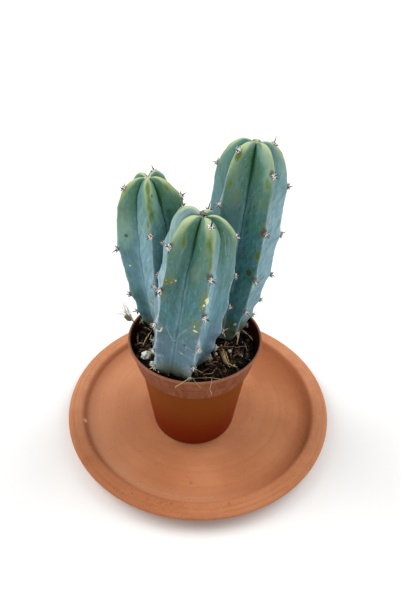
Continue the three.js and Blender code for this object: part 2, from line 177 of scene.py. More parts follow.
# A mesh object from points in millimetres and lists of faces, with masks for its finish.
def makePiece(name, points, faces, material, masks=None):
    mesh = bpy.data.meshes.new(name)
    corners = np.concatenate([f.ravel() for f in faces])
    sizes = np.concatenate([np.full(len(f), f.shape[1]) for f in faces])
    mesh.vertices.add(len(points))
    mesh.vertices.foreach_set("co", (points * metresPerMm).astype(np.float32).ravel())
    mesh.loops.add(len(corners))
    mesh.loops.foreach_set("vertex_index", corners.astype(np.int32))
    mesh.polygons.add(len(sizes))
    mesh.polygons.foreach_set("loop_start", (np.cumsum(sizes) - sizes).astype(np.int32))
    mesh.update(calc_edges=True)
    mesh.validate()
    mesh.shade_smooth()
    for key, values in (masks or {}).items():
        kind, field = ("FLOAT_VECTOR", "vector") if values.ndim > 1 else ("FLOAT", "value")
        layer = mesh.attributes.new(key, kind, "POINT")
        layer.data.foreach_set(field, values.astype(np.float32).ravel())
    mesh.materials.append(material)
    piece = placed(name, mesh)
    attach(piece, "root")
    return piece


# Quads over a grid of rows that closes round each row.
def bandFaces(rows, columns):
    i, j = np.meshgrid(np.arange(rows - 1), np.arange(columns), indexing="ij")
    k = (j + 1) % columns
    corners = [i * columns + j, i * columns + k, (i + 1) * columns + k, (i + 1) * columns + j]
    return np.stack(corners, -1).reshape(-1, 4)


# Triangles from one ring of a grid to a single point.
def fanFaces(ringStart, columns, point, upwards):
    j = np.arange(columns)
    k = (j + 1) % columns
    ends = (j, k) if upwards else (k, j)
    return np.stack([ends[0] + ringStart, ends[1] + ringStart, np.full(columns, point)], -1)


# The faces of such a grid with both ends closed, on the two points that follow it.
def closedFaces(rows, columns):
    last = rows * columns
    fans = [fanFaces(0, columns, last, False), fanFaces(last - columns, columns, last + 1, True)]
    return bandFaces(rows, columns), np.concatenate(fans)


def fullTurn(count):  # evenly spaced bearings
    return np.arange(count) * 2 * math.pi / count


def polar(bearing, radius, height):
    parts = np.broadcast_arrays(radius * np.cos(bearing), radius * np.sin(bearing), height)
    return np.stack(parts, -1)


# The points and triangles of a ball of triangles, the starting form of a lump.
def ballForm(detail):
    form = bmesh.new()
    bmesh.ops.create_icosphere(form, subdivisions=detail, radius=1.0)
    points = np.array([v.co[:] for v in form.verts])
    tris = np.array([[v.index for v in f.verts] for f in form.faces])
    form.free()
    return points, tris


balls = {detail: ballForm(detail) for detail in (1, 2, 3, 4)}


# Many small closed forms gathered into one mesh. Each carries its own tone and a grade along it.
class Heap:
    def __init__(self):
        self.points, self.quads, self.tris, self.tones, self.grades = [], [], [], [], []
        self.count = 0

    def add(self, points, quads, tris, tone, grade):
        self.points.append(points)
        if quads is not None:
            self.quads.append(quads + self.count)
        self.tris.append(tris + self.count)
        self.tones.append(np.full(len(points), float(tone)))
        self.grades.append(np.zeros(len(points)) + grade)
        self.count += len(points)

    def lump(self, points, detail, tone, grade=0.0):  # its points are those of a ball, moved
        self.add(points, None, balls[detail][1], tone, grade)

    # A round tube along a path, tapering as its radii say.
    def tube(self, path, radii, sides, tone=0.0, flat=1.0):
        path, radii = np.asarray(path, float), np.asarray(radii, float)
        ahead = unit(np.gradient(path, axis=0))
        axis = np.eye(3)[np.argmin(np.abs(ahead.mean(0)))]
        side = unit(np.cross(ahead, axis))
        other = np.cross(ahead, side)
        turn = fullTurn(sides)[None, :, None]
        ring = np.cos(turn) * side[:, None] + flat * np.sin(turn) * other[:, None]
        body = path[:, None] + radii[:, None, None] * ring
        points = np.concatenate([body.reshape(-1, 3), path[:1], path[-1:] + ahead[-1:] * radii[-1]])
        grade = np.concatenate([np.repeat(np.linspace(0, 1, len(path)), sides), [0, 1]])
        self.add(points, *closedFaces(len(path), sides), tone, grade)

    def piece(self, name, material, slotName):
        faces = [np.concatenate(group) for group in (self.quads, self.tris) if group]
        masks = {"tone": np.concatenate(self.tones), "grade": np.concatenate(self.grades)}
        return makePiece(name, np.concatenate(self.points), faces, material, masks)


# A turned form: rings along a profile of [radius, height], closed at both ends on the axis.
def turnedForm(profile, segments, centre=(0.0, 0.0), height=0.0):
    rings = polar(fullTurn(segments), profile[1:-1, :1], profile[1:-1, 1:])
    ends = [[0, 0, profile[0, 1]], [0, 0, profile[-1, 1]]]
    points = np.concatenate([rings.reshape(-1, 3), ends]) + [*centre, height]
    return points, closedFaces(len(rings), segments)


# Corners of a line cut again and again until they are round.
def rounded(line, passes):
    line = np.asarray(line, float)
    for _ in range(passes):
        a, b = line[:-1], line[1:]
        cut = np.stack([a * 0.75 + b * 0.25, a * 0.25 + b * 0.75], 1).reshape(-1, line.shape[1])
        line = np.concatenate([line[:1], cut[1:-1], line[-1:]])
    return line


# A profile with no step longer than a given length.
def spacedProfile(profile, step):
    out = [profile[0]]
    for a, b in zip(profile[:-1], profile[1:]):
        parts = max(1, int(np.ceil(np.linalg.norm(b - a) / step)))
        out += [a + (b - a) * k / parts for k in range(1, parts + 1)]
    return np.array(out)


# A smooth line of so many points through the given ones.
def smoothPath(points, count):
    line = rounded(points, 3)
    at = np.linspace(0, len(line) - 1, count)
    return np.stack([np.interp(at, np.arange(len(line)), column) for column in line.T], -1)


# The share of its full thickness that a strand keeps along its length: it thins to both ends.
def taper(count, loss, power=3):
    return 1 - loss * np.abs(np.linspace(-1, 1, count)) ** power


# Saucer of unglazed clay, turned on a wheel.
clay = {
    "segments": 220,
    "profile": [
        [0, 0], [30, 0], [60.4, 0], [61.2, 0.1], [64.6, 1.0], [69.8, 4.9], [70.9, 6.0], [71.38, 7.0],
        [70.6, 7.85], [68.3, 8.02], [65.0, 7.95], [63.4, 7.45], [62.4, 6.0], [61.2, 4.9], [59.2, 4.45],
        [52, 4.4], [30, 4.4], [0, 4.4],
    ],
    "longestStep": 1.6,
    "turning": 0.05,  # height of the throwing rings on the floor
    "turningReach": [(0, 6), (60, 55)],  # distances where they fade in and out
    "topFrom": (2.0, 4.2),
    "wobble": 0.10,
    "wobbleReach": (40, 70),
    "rimWave": 0.06,
    "waveFrom": (5.5, 7.9),
    "rimDrop": 0.04,
    "dropFrom": (6, 8),
    "light": "bd7d55",
    "body": "ac6a42",
    "deep": "8c4a24",
    "dust": "c98f6c",
    "speck": "6d3417",
    "chalk": "f0d2bc",
    "ash": "a08763",
    # Where each zone starts and where it is whole: heights, or distances from the middle.
    "rimRise": (6.2, 7.9),
    "floorFall": (5.4, 4.8),
    "wallReach": (53.0, 60.5),
    "wallFall": (7.6, 5.2),
    "paintedShadeReach": (46.0, 60.0),  # painted shade: the darker floor at the back left
    "seamInner": (58.4, 59.0),  # the line of ash where the wall meets the floor
    "seamOuter": (59.9, 59.3),
    # Spots that the photo shows: the place and how far it reaches.
    "paintedLightPool": ((0, -4, 4.4), 52.0),  # painted light: the paler floor round the pot
    "chip": ((-60.5, -18.5, 5.8), 1.9),  # the white speck at the foot of the wall
    "blush": ((-53.3, -43.8, 8), 4.0),
    "pits": [(-21.6, -62.3, 8), (-15.6, -63.6, 8), (-11, -64.2, 8), (15.1, -63.2, 8), (-2.4, -51.7, 4.4)],
    "pitReach": 1.1,
}


def clayFinish():
    f = Finish("unglazedClay")
    c = clay
    spot = f.spot()
    radial = f.vector("LENGTH", {0: f.stretched(spot, (1, 1, 0))}, "Value")
    level, side, back = [f.node("ShaderNodeSeparateXYZ", None, {0: spot}, axis) for axis in "ZXY"]
    ringSpot = f.node("ShaderNodeCombineXYZ", None, {0: radial, 1: f.noise(spot, 40, 1) * 2.0})
    rings = f.noise(ringSpot, 3.4, 3, 0.6)
    fineRings = f.noise(ringSpot, 0.7, 2, 0.6)
    cloud = f.noise(spot, 26, 3, 0.55)
    patch = f.noise(f.shifted(spot, (31.0, 7.0, 0.0)), 6.5, 4, 0.6)
    grain = f.noise(spot, 0.55, 2, 0.7)
    f.colour = f.mix(f.ease(cloud + 0.35 * patch, 0.45, 0.95), c["body"], c["light"])
    f.lay(f.ease(rings, 0.35, 0.75, 0.24), c["deep"])
    rim = f.ease(level, *c["rimRise"])
    away = f.ease(back, -75.0, 25.0)
    # Painted light and shade on the rim: patchy dust kept to the back makes the rim paler there, and painted
    # shade darkens its front.
    f.lay(rim * away * f.ease(patch, 0.3, 0.7, 0.6, 0.25), c["dust"])
    f.lay(rim * f.ease(away + side * 0.004, 0.4, -0.1, 0.35), c["deep"])
    wall = f.ease(radial, *c["wallReach"]) * f.ease(level, *c["wallFall"])
    # Painted shade on the inner wall, darkest at the back right, and painted light on its front left.
    f.lay(wall * f.ease(back + 0.4 * side, -70.0, 5.0, 0.8, 0.3), c["deep"])
    f.lay(wall * f.ease(back + 0.6 * side, -20.0, -75.0, 0.4), c["dust"])
    floor = f.ease(level, *c["floorFall"])
    # Painted light: the floor round the pot is made paler against the shade that the pot throws there.
    f.lay(floor * f.near(spot, *c["paintedLightPool"]) * 0.28, c["light"])
    # Painted shade: the floor darker towards the front.
    f.lay(floor * f.ease(back, -25.0, -60.0, 0.2), c["deep"])
    # Painted shade on the floor at the back left, near the wall.
    paintedShade = f.ease(radial, *c["paintedShadeReach"]) * f.ease(back, 5.0, 35.0) * f.ease(side, 5.0, -30.0)
    f.lay(floor * paintedShade * 0.65, c["deep"])
    # Painted light: the floor paler towards the left, in the dust colour.
    f.lay(floor * f.ease(side, -15.0, -50.0, 0.35), c["dust"])
    # Painted shade: the floor darker towards the back right.
    f.lay(floor * f.ease(side + back, 38.0, 85.0, 0.95), c["deep"])
    seam = f.ease(radial, *c["seamInner"]) * f.ease(radial, *c["seamOuter"])
    seam = seam * f.ease(side + 1.2 * back, -40.0, -75.0)
    f.lay(seam * f.ease(patch, 0.35, 0.65, 0.4, 0.05), c["ash"])
    f.lay(rim * f.ease(fineRings, 0.5, 0.7, 0.4), c["deep"])
    f.lay(f.near(spot, *c["chip"]), c["chalk"])
    f.lay(f.near(spot, *c["blush"]) * f.ease(patch, 0.35, 0.6, 0.6, 0.2), c["deep"])
    for pit in c["pits"]:
        f.lay(f.near(spot, pit, c["pitReach"]) * 0.55, c["deep"])
    speck = f.ease(f.cells(spot, 1.9), 0.22, 0.10) * f.ease(f.noise(spot, 5.0, 1), 0.52, 0.66)
    f.lay(speck * 0.55, c["speck"])
    f.lay(f.ease(grain, 0.35, 0.7, 0.22), c["dust"])
    relief = grain * 0.5 + fineRings * 0.35 + rings * 0.5 - speck * 0.8
    return f.close(f.ease(patch, 0.2, 0.8, 0.95, 0.82), gloss=0.25, relief=relief, depth=0.10)


def buildSaucer():
    c = clay
    points, faces = turnedForm(spacedProfile(rounded(c["profile"], 2), c["longestStep"]), c["segments"])
    radius = np.hypot(points[:, 0], points[:, 1])
    bearing = np.arctan2(points[:, 1], points[:, 0])
    top = blendStep(*c["topFrom"], points[:, 2])
    turning = np.sin(radius * 1.9 + 0.4 * np.sin(bearing + 0.6)) + 0.6 * np.sin(radius * 0.83 + 1.0)
    inner, outer = [blendStep(*reach, radius) for reach in c["turningReach"]]
    points[:, 2] += c["turning"] * turning * top * outer * inner
    slack = c["wobble"] * (np.sin(2 * bearing + 0.5) + 0.5 * np.sin(3 * bearing + 2.0) - 1.5)
    points[:, :2] *= (1 + slack * blendStep(*c["wobbleReach"], radius) / np.maximum(radius, 1))[:, None]
    wave = c["rimWave"] * np.sin(3 * bearing + 1.0) * blendStep(*c["waveFrom"], points[:, 2])
    points[:, 2] += wave - c["rimDrop"] * blendStep(*c["dropFrom"], points[:, 2])
    piece = makePiece("clay_saucer", points, faces, clayFinish())
    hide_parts("saucer")


buildSaucer()
print("saucer built")


# Thin-walled nursery pot: tapered body, wider collar, fine lip, drain holes in its raised floor.
potPlan = {
    "x": -2.4,
    "y": -8.3,
    "bottom": 4.7,
    "height": 55.6,
    "segments": 168,
    "longestStep": 2.5,
    "collarFrom": 28.0,
    "collarRadii": (27.45, 30.82),  # inside the collar, at its foot and at the lip
    "collarFoot": 42.45,
    "collarHeight": 13.15,
    "drainSides": 32,
    "profile": [  # from the underside, up the outside and down the inside
        [0, 0.9], [19.3, 0.9], [19.7, 0.7], [20.1, 0.05], [20.4, 0], [21.2, 0], [21.55, 0.15], [21.72, 0.5],
        [22.0, 2.5], [26.66, 40.4], [26.8, 41.3], [27.4, 41.5], [28.1, 41.6], [28.35, 41.9], [28.42, 42.4],
        [29.9, 48.6], [31.45, 54.2], [31.7, 54.45], [32.0, 54.55], [32.0, 54.9], [31.98, 55.3],
        [31.75, 55.58], [31.3, 55.6], [30.95, 55.5], [30.8, 55.2], [27.6, 42.9], [27.2, 42.45], [26.2, 42.2],
        [25.9, 41.8], [21.0, 3.6], [20.7, 2.5], [19.9, 2.05], [19.2, 2.0], [0, 2.0],
    ],
    "drainHoles": 4,
    "drainRadius": 2.4,
    "drainCircle": 13.0,
    "drainTurn": 0.25,
    "drillReach": (-2, 5),  # heights from the underside between which the drill cuts
    "bands": [[45.6, 0.10], [49.2, 0.08], [52.0, 0.08]],  # faint moulded rings on the collar
    "bandHalf": (0.7, 0.25),  # half the height of a ring, at its foot and on its flat
    "collar": "783f22",
    "collarDust": "905a42",
    "body": "7c3d0e",
    # painted shade for the inside of the pot
    "foot": "782300",
    "inside": "33100c",
    "rimEdge": "a8755c",
    "bodyRise": (4.0, 34.0),  # the heights between which one paint turns into the next; the darker foot paint below the body is painted shade
    "collarRise": (40.4, 42.6),
    "rimRise": (54.6, 55.3),
}


def plasticFinish():
    f = Finish("thinPlastic")
    p = potPlan
    spot = f.spot()
    level = f.node("ShaderNodeSeparateXYZ", None, {0: spot}, "Z") - p["bottom"]
    streak = f.noise(f.stretched(spot, (1, 1, 0.25)), 5.0, 3, 0.6)
    band = f.noise(f.stretched(spot, (0.05, 0.05, 1)), 1.6, 2, 0.5)
    scuff = f.noise(spot, 0.9, 4, 0.65)
    inside = f.mask("inside")
    # Painted shade: the body's paint darkens towards the foot.
    f.colour = f.mix(f.ease(level, *p["bodyRise"]), p["foot"], p["body"])
    collar = f.ease(level, *p["collarRise"])
    drips = f.noise(f.stretched(spot, (1, 1, 0.16)), 2.0, 3, 0.6)
    dusty = f.mix(f.ease(drips + 0.2 * band + 0.3 * streak, 0.5, 1.05), p["collar"], p["collarDust"])
    f.lay(collar, dusty)
    f.lay(f.ease(scuff, 0.55, 0.8, 0.3), p["collarDust"])
    # Painted shade: the inside of the pot is painted near black.
    f.lay(inside, p["inside"])
    f.lay(f.ease(level, *p["rimRise"], 0.42), p["rimEdge"])
    relief = scuff * 0.3 + band * 0.7
    return f.close(f.ease(streak, 0.3, 0.7, 0.55, 0.42) + collar * 0.1, gloss=0.12, relief=relief, depth=0.03)


def buildPot():
    p = potPlan
    profile = np.asarray(p["profile"], float)
    for height, depth in p["bands"]:
        at = int(np.argmax((profile[:, 1] > height) & (profile[:, 0] > p["collarFrom"])))
        a, b = profile[at - 1], profile[at]
        rows = []
        foot, flat = p["bandHalf"]
        for lift, push in ((-foot, 0.0), (-flat, depth), (flat, depth), (foot, 0.0)):
            t = (height + lift - a[1]) / (b[1] - a[1])
            rows.append(a + (b - a) * t + [push, 0])
        profile = np.insert(profile, at, rows, axis=0)
    profile = spacedProfile(rounded(profile, 1), p["longestStep"])
    points, faces = turnedForm(profile, p["segments"], (p["x"], p["y"]), p["bottom"])
    outerEnd = int(np.argmax(profile[1:-1, 1]))
    rows = np.repeat(np.arange(len(profile) - 2), p["segments"])
    inside = np.concatenate([blendStep(outerEnd + 1, outerEnd + 4, rows), [0, 1]])
    piece = makePiece("plastic_pot", points, faces, plasticFinish(), {"inside": inside})
    drainThrough(piece)
    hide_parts("nursery_pot")


# Cuts the drain holes through the pot's floor.
def drainThrough(piece):
    p = potPlan
    drill = Heap()
    for i in range(p["drainHoles"]):
        angle = 2 * math.pi * (i + p["drainTurn"]) / p["drainHoles"]
        x = p["x"] + p["drainCircle"] * math.cos(angle)
        y = p["y"] + p["drainCircle"] * math.sin(angle)
        way = [[x, y, p["bottom"] + level] for level in p["drillReach"]]
        drill.tube(way, [p["drainRadius"]] * 2, p["drainSides"])
    cutter = bpy.data.meshes.new("drill")
    faces = np.concatenate(drill.quads).tolist() + np.concatenate(drill.tris).tolist()
    cutter.from_pydata((np.concatenate(drill.points) * metresPerMm).tolist(), [], faces)
    tool = placed("drill", cutter)
    cut = piece.modifiers.new("drain", "BOOLEAN")
    cut.operation, cut.object, cut.solver = "DIFFERENCE", tool, "EXACT"
    ready = piece.evaluated_get(bpy.context.evaluated_depsgraph_get())
    result = bpy.data.meshes.new_from_object(ready)
    piece.modifiers.clear()
    piece.data = result
    bpy.data.objects.remove(tool)


buildPot()
print("pot built")


def fromPot(x, y):  # distance from the pot's axis
    return np.hypot(x - potPlan["x"], y - potPlan["y"])


# The three columns, with the same forms as their solids.
ribCount = 5
soilLevel = 55.0
growth = {
    "ringCount": 230,
    "raysPerRib": 40,
    "samples": 4001,  # along a column, to space its rings by
    "crowding": 1.6,
    "topDetail": 0.9,
    "apexDip": 1.5,
    "dipFrom": 0.4,
    "grooveSink": 3.4,
    "sinkRate": 1.4,
    "wideTo": 0.5,
    "plumpPower": 2.3,
    "fullness": (0.10, 0.50),  # flat flanks below, plumper lobes over the top
    "plumpFrom": (0.80, 1.0),
    "notch": (0.02, 0.07),  # depth of the narrow crease along a groove, low and high
    "notchFrom": (0.72, 0.97),
    "notchWidth": 0.07,
    "creaseShare": 0.45,  # the part of the grooves' drop at the top which falls in the crease
    "liftFrom": (0.8, 0.95),
    "liftShare": (0.05, 0.4),
    "slideFrom": (0.72, 0.9),
    "crestRound": 0.06,
    "hump": (1.35, 0.75),  # how far an areole's mound stands out, low and high on the column
    "humpFrom": (0.35, 0.75),
    "humpHalf": 3.2,
    "humpPower": 1.5,
    "crestHalf": 0.3,
    "calmTo": (1.0, 0.93),  # the tip is smooth
    "scallop": 0.4,  # how far the crest draws in between the mounds
    "scallopTo": (0.95, 0.5),
    "crease": 0.05,
    "creaseStart": 0.8,  # how far above its areole a crease begins
    "creaseHalf": 0.42,
    "creaseFrom": (0.04, 0.15),
    "creaseFall": 13.5,  # how far a crease drops from crest to groove
    "lumps": 0.16,
    "rootShare": 0.72,
    "rootTaper": (0.3, 0.65),
    "rootNeck": 4.0,
    "lilacFrom": (37, 29),  # the heights between which the lilac bloom fades in
}
columns = {
    "front": {
        "foot": (-10.4, -23.6), "tip": (0.0, -20.2, 129.0), "girth": 16.5, "footRatio": 0.62,
        "girthAt": 0.42, "flare": 0.6, "shoulder": (3.9, 3.0), "turn": -68, "twist": -3,
        "groove": (0.68, 0.57), "bow": (0.2, 0.0), "root": 12, "seed": 7, "tuft": 1.0,
        "crown": (14, 3.0, 0.16),  # young spines at the tip: how many, how long and how thick
        "youngest": [(2, 76.1)],  # a cushion still forming behind the tip
        "lift": (0, 0.3, 0, 1.2, 0.2), "skew": (0, 0, 0, -3, 5), "slide": (7, 0, 0, 0, -6),
        "slideTop": (7, 0, 0, 0, 0), "lilac": 1.0, "fresh": 0.15,
        "wax": [(0.12, 0.75), (0.35, 0.4), (0.5, 0.5), (1.0, 1.0), (0.88, 0.1)],
        "areoles": [
            [4.8, 12.3, 23.3, 39.2, 56, 73.4], [5.2, 11.8, 21.5, 34.7, 50.2, 66.8],
            [6.5, 15.5, 28, 43.5, 59.5, 73], [6, 14, 25.3, 39.8, 55.3, 72.3], [7, 16.5, 30, 46, 64],
        ],
    },
    "left": {
        "foot": (-18.2, 4.0), "tip": (-23.6, 6.9, 132.7), "girth": 16.5, "footRatio": 0.43,
        "girthAt": 0.61, "flare": 0.82, "shoulder": (2.75, 2.15), "turn": -91, "twist": 12,
        "groove": (0.63, 0.55), "bow": (0.3, -0.4), "root": 12, "seed": 19, "tuft": 1.2,
        "crown": (5, 1.5, 0.12), "youngest": [],
        "lift": (0, 0.2, 1.7, 1.2, 0.2), "skew": (1, 3, 0, 0, 0), "slide": (4, 0, 0, 0, -5),
        "slideTop": (-3, 0, 0, 0, -5), "lilac": 0.12, "fresh": 0.65,
        "wax": [(0.75, 0.5), (0.0, 0.4), (0.5, 0.5), (0.5, 0.6), (0.6, 0.35)],
        "areoles": [
            [6, 17, 34.5, 58], [10, 24, 45, 69], [6, 15, 31, 53.5, 77.1], [9, 22, 41, 65],
            [5.5, 12, 22.6, 47.6, 73.6],
        ],
    },
    "right": {
        "foot": (12.7, 0.2), "tip": (20.3, 8.6, 147.6), "girth": 17.2, "footRatio": 0.42,
        "girthAt": 0.51, "flare": 1.0, "shoulder": (3.8, 2.7), "turn": -64.5, "twist": 6,
        "groove": (0.63, 0.52), "bow": (0.1, 0.5), "root": 13, "seed": 23, "tuft": 2.0,
        "crown": (5, 1.5, 0.12), "youngest": [],
        "lift": (0.2, 0.2, 0, 0.6, 0), "skew": (0, 0, 0, 0, 0), "slide": (0, 0, 0, 0, 0),
        "slideTop": (0, 0, 0, 0, 0), "lilac": 0.1, "fresh": 0.3,
        "wax": [(0.05, 0.68), (0.85, 0.8), (0.5, 0.5), (0.7, 0.6), (1.1, 0.2)],
        "areoles": [
            [7, 21.2, 38.3, 60.2, 82.8], [5, 11.2, 19.8, 33.5, 53.6, 75.3, 91.9],
            [6, 16, 29, 46, 67, 87.5], [9, 19, 34, 56, 81], [6, 14, 27, 47, 69.4, 90],
        ],
    },
}

# Marks on the skin: rib, height up it, place across it (0 crest, 1 and -1 grooves), half length
# and half width in millimetres.
marks = {
    "front": {
        "olive": [(4, 67, 0.43, 2.5, 0.95), (0, 67.7, -0.15, 3.1, 1.5), (0, 62.5, -0.08, 3.6, 0.6),
                  (0, 35.8, -0.27, 0.9, 0.5), (0, 46.8, -0.1, 1.5, 0.8),
                  (0, 43.9, -0.2, 1.3, 0.6), (2, 50, 0.2, 3, 1.4), (3, 61, 0, 3.5, 1.2)],
        "sandy": [(0, 70.6, -0.07, 2.6, 1.5), (0, 60.5, -0.1, 6, 1), (0, 71.4, -0.05, 1.6, 1.3),
                  (0, 55.5, -0.5, 4, 2.4), (0, 37, -0.12, 3.4, 1.5),
                  (0, 32, -0.25, 3.2, 2.4), (0, 7, -0.5, 2.8, 3.4), (4, 7.5, 0.4, 2.8, 3.4),
                  (0, 47.5, -0.1, 5, 1.1), (4, 53, 0.25, 3, 1.6), (4, 44, 0.1, 3.5, 1.3)],
        "rust": [(4, 50.6, 0.18, 1.3, 1.9), (4, 51.2, 0.34, 0.9, 1.1), (0, 33.2, -0.2, 2.6, 1),
                 (0, 42.3, -0.12, 1, 0.6), (0, 48.6, -0.04, 1.2, 0.6)],
        "pale": [(0, 46.4, 0.07, 1.7, 1.4), (0, 45.3, 0.04, 1, 0.8), (0, 44.3, -0.07, 0.8, 0.7),
                 (0, 32.8, -0.27, 0.7, 0.3), (0, 16.6, -0.5, 0.5, 1.3), (4, 50.9, 0.44, 0.45, 0.5),
                 (0, 31, -0.2, 0.6, 0.9), (0, 21.8, -0.42, 0.7, 0.4), (3, 33, 0.3, 0.8, 1)],
        "dark": [(0, 22, -0.47, 0.8, 0.7), (4, 20.7, 0.87, 0.7, 0.4), (1, 60, -0.3, 1.4, 0.3)],
        "paintedShadePatch": [(4, 61, 0.72, 8, 1.8), (4, 48, 0.6, 6, 2), (0, 60, -0.8, 9, 1)],
        "paintedLightPatch": [],
        "areoleBrown": [(0, 57, -0.03, 1.6, 1.1), (0, 40.4, -0.03, 1.4, 1), (4, 64.9, 0, 1.3, 1),
                 (4, 46.5, 0, 1.3, 0.9), (0, 12.8, 0, 0.9, 0.8), (2, 60, 0, 1.2, 0.9),
                 (3, 55.6, 0.03, 1.3, 1)],
    },
    "left": {
        "olive": [(0, 75, 0.02, 2.4, 1), (0, 70.8, 0.05, 4.4, 1.45), (0, 65.6, 0.1, 3, 1.6),
                  (0, 62.6, -0.08, 1.8, 0.6), (1, 73.4, -0.42, 2.1, 1.25), (2, 66, 0.1, 3, 1.2),
                  (3, 72, -0.1, 3, 1.2)],
        "sandy": [(4, 55, 0.45, 1.6, 1.4), (4, 64, 0.35, 4, 2.2), (4, 62, 0.1, 5, 1.6),
                  (0, 60, -0.1, 3, 2)],
        "rust": [(3, 44, 0.2, 1.2, 1.5)],
        "pale": [(4, 39.1, 0.3, 0.5, 0.5), (1, 40, 0.3, 0.7, 0.8)],
        "dark": [(4, 54.2, 0.33, 1, 0.8), (0, 72.7, 0.23, 0.8, 0.5), (1, 64.9, -0.67, 1.2, 0.4)],
        "paintedShadePatch": [(4, 19, 0.5, 8, 3)],
        "paintedLightPatch": [(4, 56, 0.25, 7, 4), (0, 69, 0.35, 6, 3)],
        "areoleBrown": [(0, 58.2, 0, 1.1, 0.9), (2, 53.9, 0, 1.3, 1), (3, 65.4, 0.03, 1.4, 0.9),
                 (4, 47.8, 0, 1, 0.8)],
    },
    "right": {
        "olive": [(4, 88.2, 0.12, 1.7, 1.3), (4, 77.5, 0.13, 2.6, 1), (0, 79.6, -0.13, 2.6, 1.1),
                  (0, 49.8, -0.1, 2.6, 1), (0, 41.2, -0.25, 1.9, 1.6), (2, 72, 0, 3.4, 1.3)],
        "sandy": [(4, 73, 0.42, 4.2, 2), (4, 81, 0.25, 3.4, 1.6), (0, 70.8, -0.55, 2.4, 1.4),
                  (0, 62, -0.08, 4.2, 1), (3, 60, 0.2, 3, 1.2), (0, 72, -0.2, 4, 1.4),
                  (4, 9, 0.7, 6, 5), (0, 9, -0.6, 5, 5)],
        "rust": [(2, 50, 0.1, 1.4, 1.4)],
        "pale": [(0, 11.2, -0.2, 0.9, 0.7), (1, 28, 0.2, 0.8, 0.9)],
        "dark": [(0, 70, -0.5, 0.8, 0.4), (4, 68, 0.7, 0.9, 0.4), (0, 66, -0.62, 0.8, 0.4),
                 (0, 41.2, -0.25, 1.5, 1.2), (0, 49.8, -0.1, 1.4, 0.5)],
        "paintedShadePatch": [(4, 62, 0.5, 8, 4)],
        "paintedLightPatch": [(0, 88.5, -0.3, 2.8, 1.7), (0, 82, -0.15, 6, 1.6)],
        "areoleBrown": [(0, 60.9, -0.05, 2.3, 1), (0, 83.7, -0.04, 1.5, 0.9), (0, 39.2, -0.04, 1.5, 0.9),
                 (4, 69.6, -0.03, 1.3, 0.9), (2, 67.4, 0, 1.5, 1), (3, 56.4, 0, 1.4, 1)],
    },
}

# Scuffed lines on the wax: half width, then the way as place among the ribs and height.
scuffs = {
    "front": [
        (0.60, [(4.16, 29.6), (4.25, 26), (4.42, 21.3)]), (0.60, [(4.47, 21.1), (4.65, 26.9), (4.75, 29.8)]),
        (0.50, [(4.70, 24.5), (4.76, 21.8), (4.90, 21)]), (0.50, [(4.67, 17.2), (4.84, 16.6)]),
        (0.30, [(4.78, 26), (4.80, 19.5)]), (0.30, [(4.44, 30.2), (4.53, 29.4)]),
        (0.35, [(4.12, 12), (4.16, 5)]),
        (0.35, [(0.65, 70.5), (0.69, 66), (0.72, 61)]), (0.30, [(0.78, 68), (0.80, 62)]),
    ],
    "left": [(0.35, [(4.70, 62), (4.84, 58)]), (0.35, [(0.30, 57), (0.16, 66)])],
    "right": [
        (0.35, [(3.72, 82), (3.78, 72), (3.75, 66)]), (0.30, [(0.60, 74), (0.66, 64)]),
        (0.30, [(4.44, 76), (4.36, 71), (4.30, 68.5)]), (0.30, [(4.57, 70), (4.70, 76)]),
    ],
}


def crestRadius(c, f):
    f = np.clip(f, 0, 1)
    swell = np.sin(np.minimum(f / c["girthAt"], 1) * math.pi / 2) ** c["flare"]
    rising = between(c["footRatio"], 1, swell)
    t = np.clip((f - c["girthAt"]) / (1 - c["girthAt"]), 0, 1)
    closing = np.maximum(0, 1 - t ** c["shoulder"][0]) ** (1 / c["shoulder"][1])
    return c["girth"] * np.where(f < c["girthAt"], rising, closing)


def axisOf(c):
    foot = np.array([*c["foot"], soilLevel])
    lean = np.array(c["tip"]) - foot
    return foot, lean / np.linalg.norm(lean), np.linalg.norm(lean)


def standing(c, points):
    foot, lean, _ = axisOf(c)
    turn = np.array(Vector((0, 0, 1)).rotation_difference(Vector(lean)).to_matrix())
    return points @ turn.T + foot


# A point of the skin. place counts the ribs round the column, whole on a crest, half in a groove.
def skinPoint(c, f, place):
    g = growth
    near = np.round(place)
    off = np.abs(place - near) * 2
    crest = crestRadius(c, f)
    share = crest / c["girth"]
    soft = g["crestRound"]
    blunt = (np.sqrt(off ** 2 + soft ** 2) - soft) / (math.sqrt(1 + soft ** 2) - soft)
    half = math.pi / ribCount
    deep = between(*g["notch"], blendStep(*g["notchFrom"], f))
    notch = np.exp(-((1 - off) / g["notchWidth"]) ** 2)
    wide = between(*c["groove"], blendStep(0, g["wideTo"], f)) + deep
    flat = wide * math.sin(half) / (np.sin(blunt * half) + wide * np.sin(half - blunt * half))
    plump = between(wide, 1, 1 - off ** g["plumpPower"])
    fullness = between(*g["fullness"], blendStep(*g["plumpFrom"], f))
    radius = crest * (between(flat, plump, fullness) - deep * notch)
    dip = g["apexDip"] * np.clip(1 - share / g["dipFrom"], 0, 1) ** 2
    drop = between(off ** g["plumpPower"], notch, g["creaseShare"])
    sink = g["grooveSink"] * blendStep(c["girthAt"], 1, f) * np.minimum(1, share * g["sinkRate"]) * drop
    lift = np.array(c["lift"])[near.astype(int) % ribCount] * (1 - off ** 2)
    lift = lift * blendStep(*g["liftFrom"], f) * blendStep(*g["liftShare"], share)
    bow = np.multiply.outer(4 * f * (1 - f), [*c["bow"], 0])
    return polar(ribBearing(c, place, f), radius, f * axisOf(c)[2] - dip - sink + lift) + bow


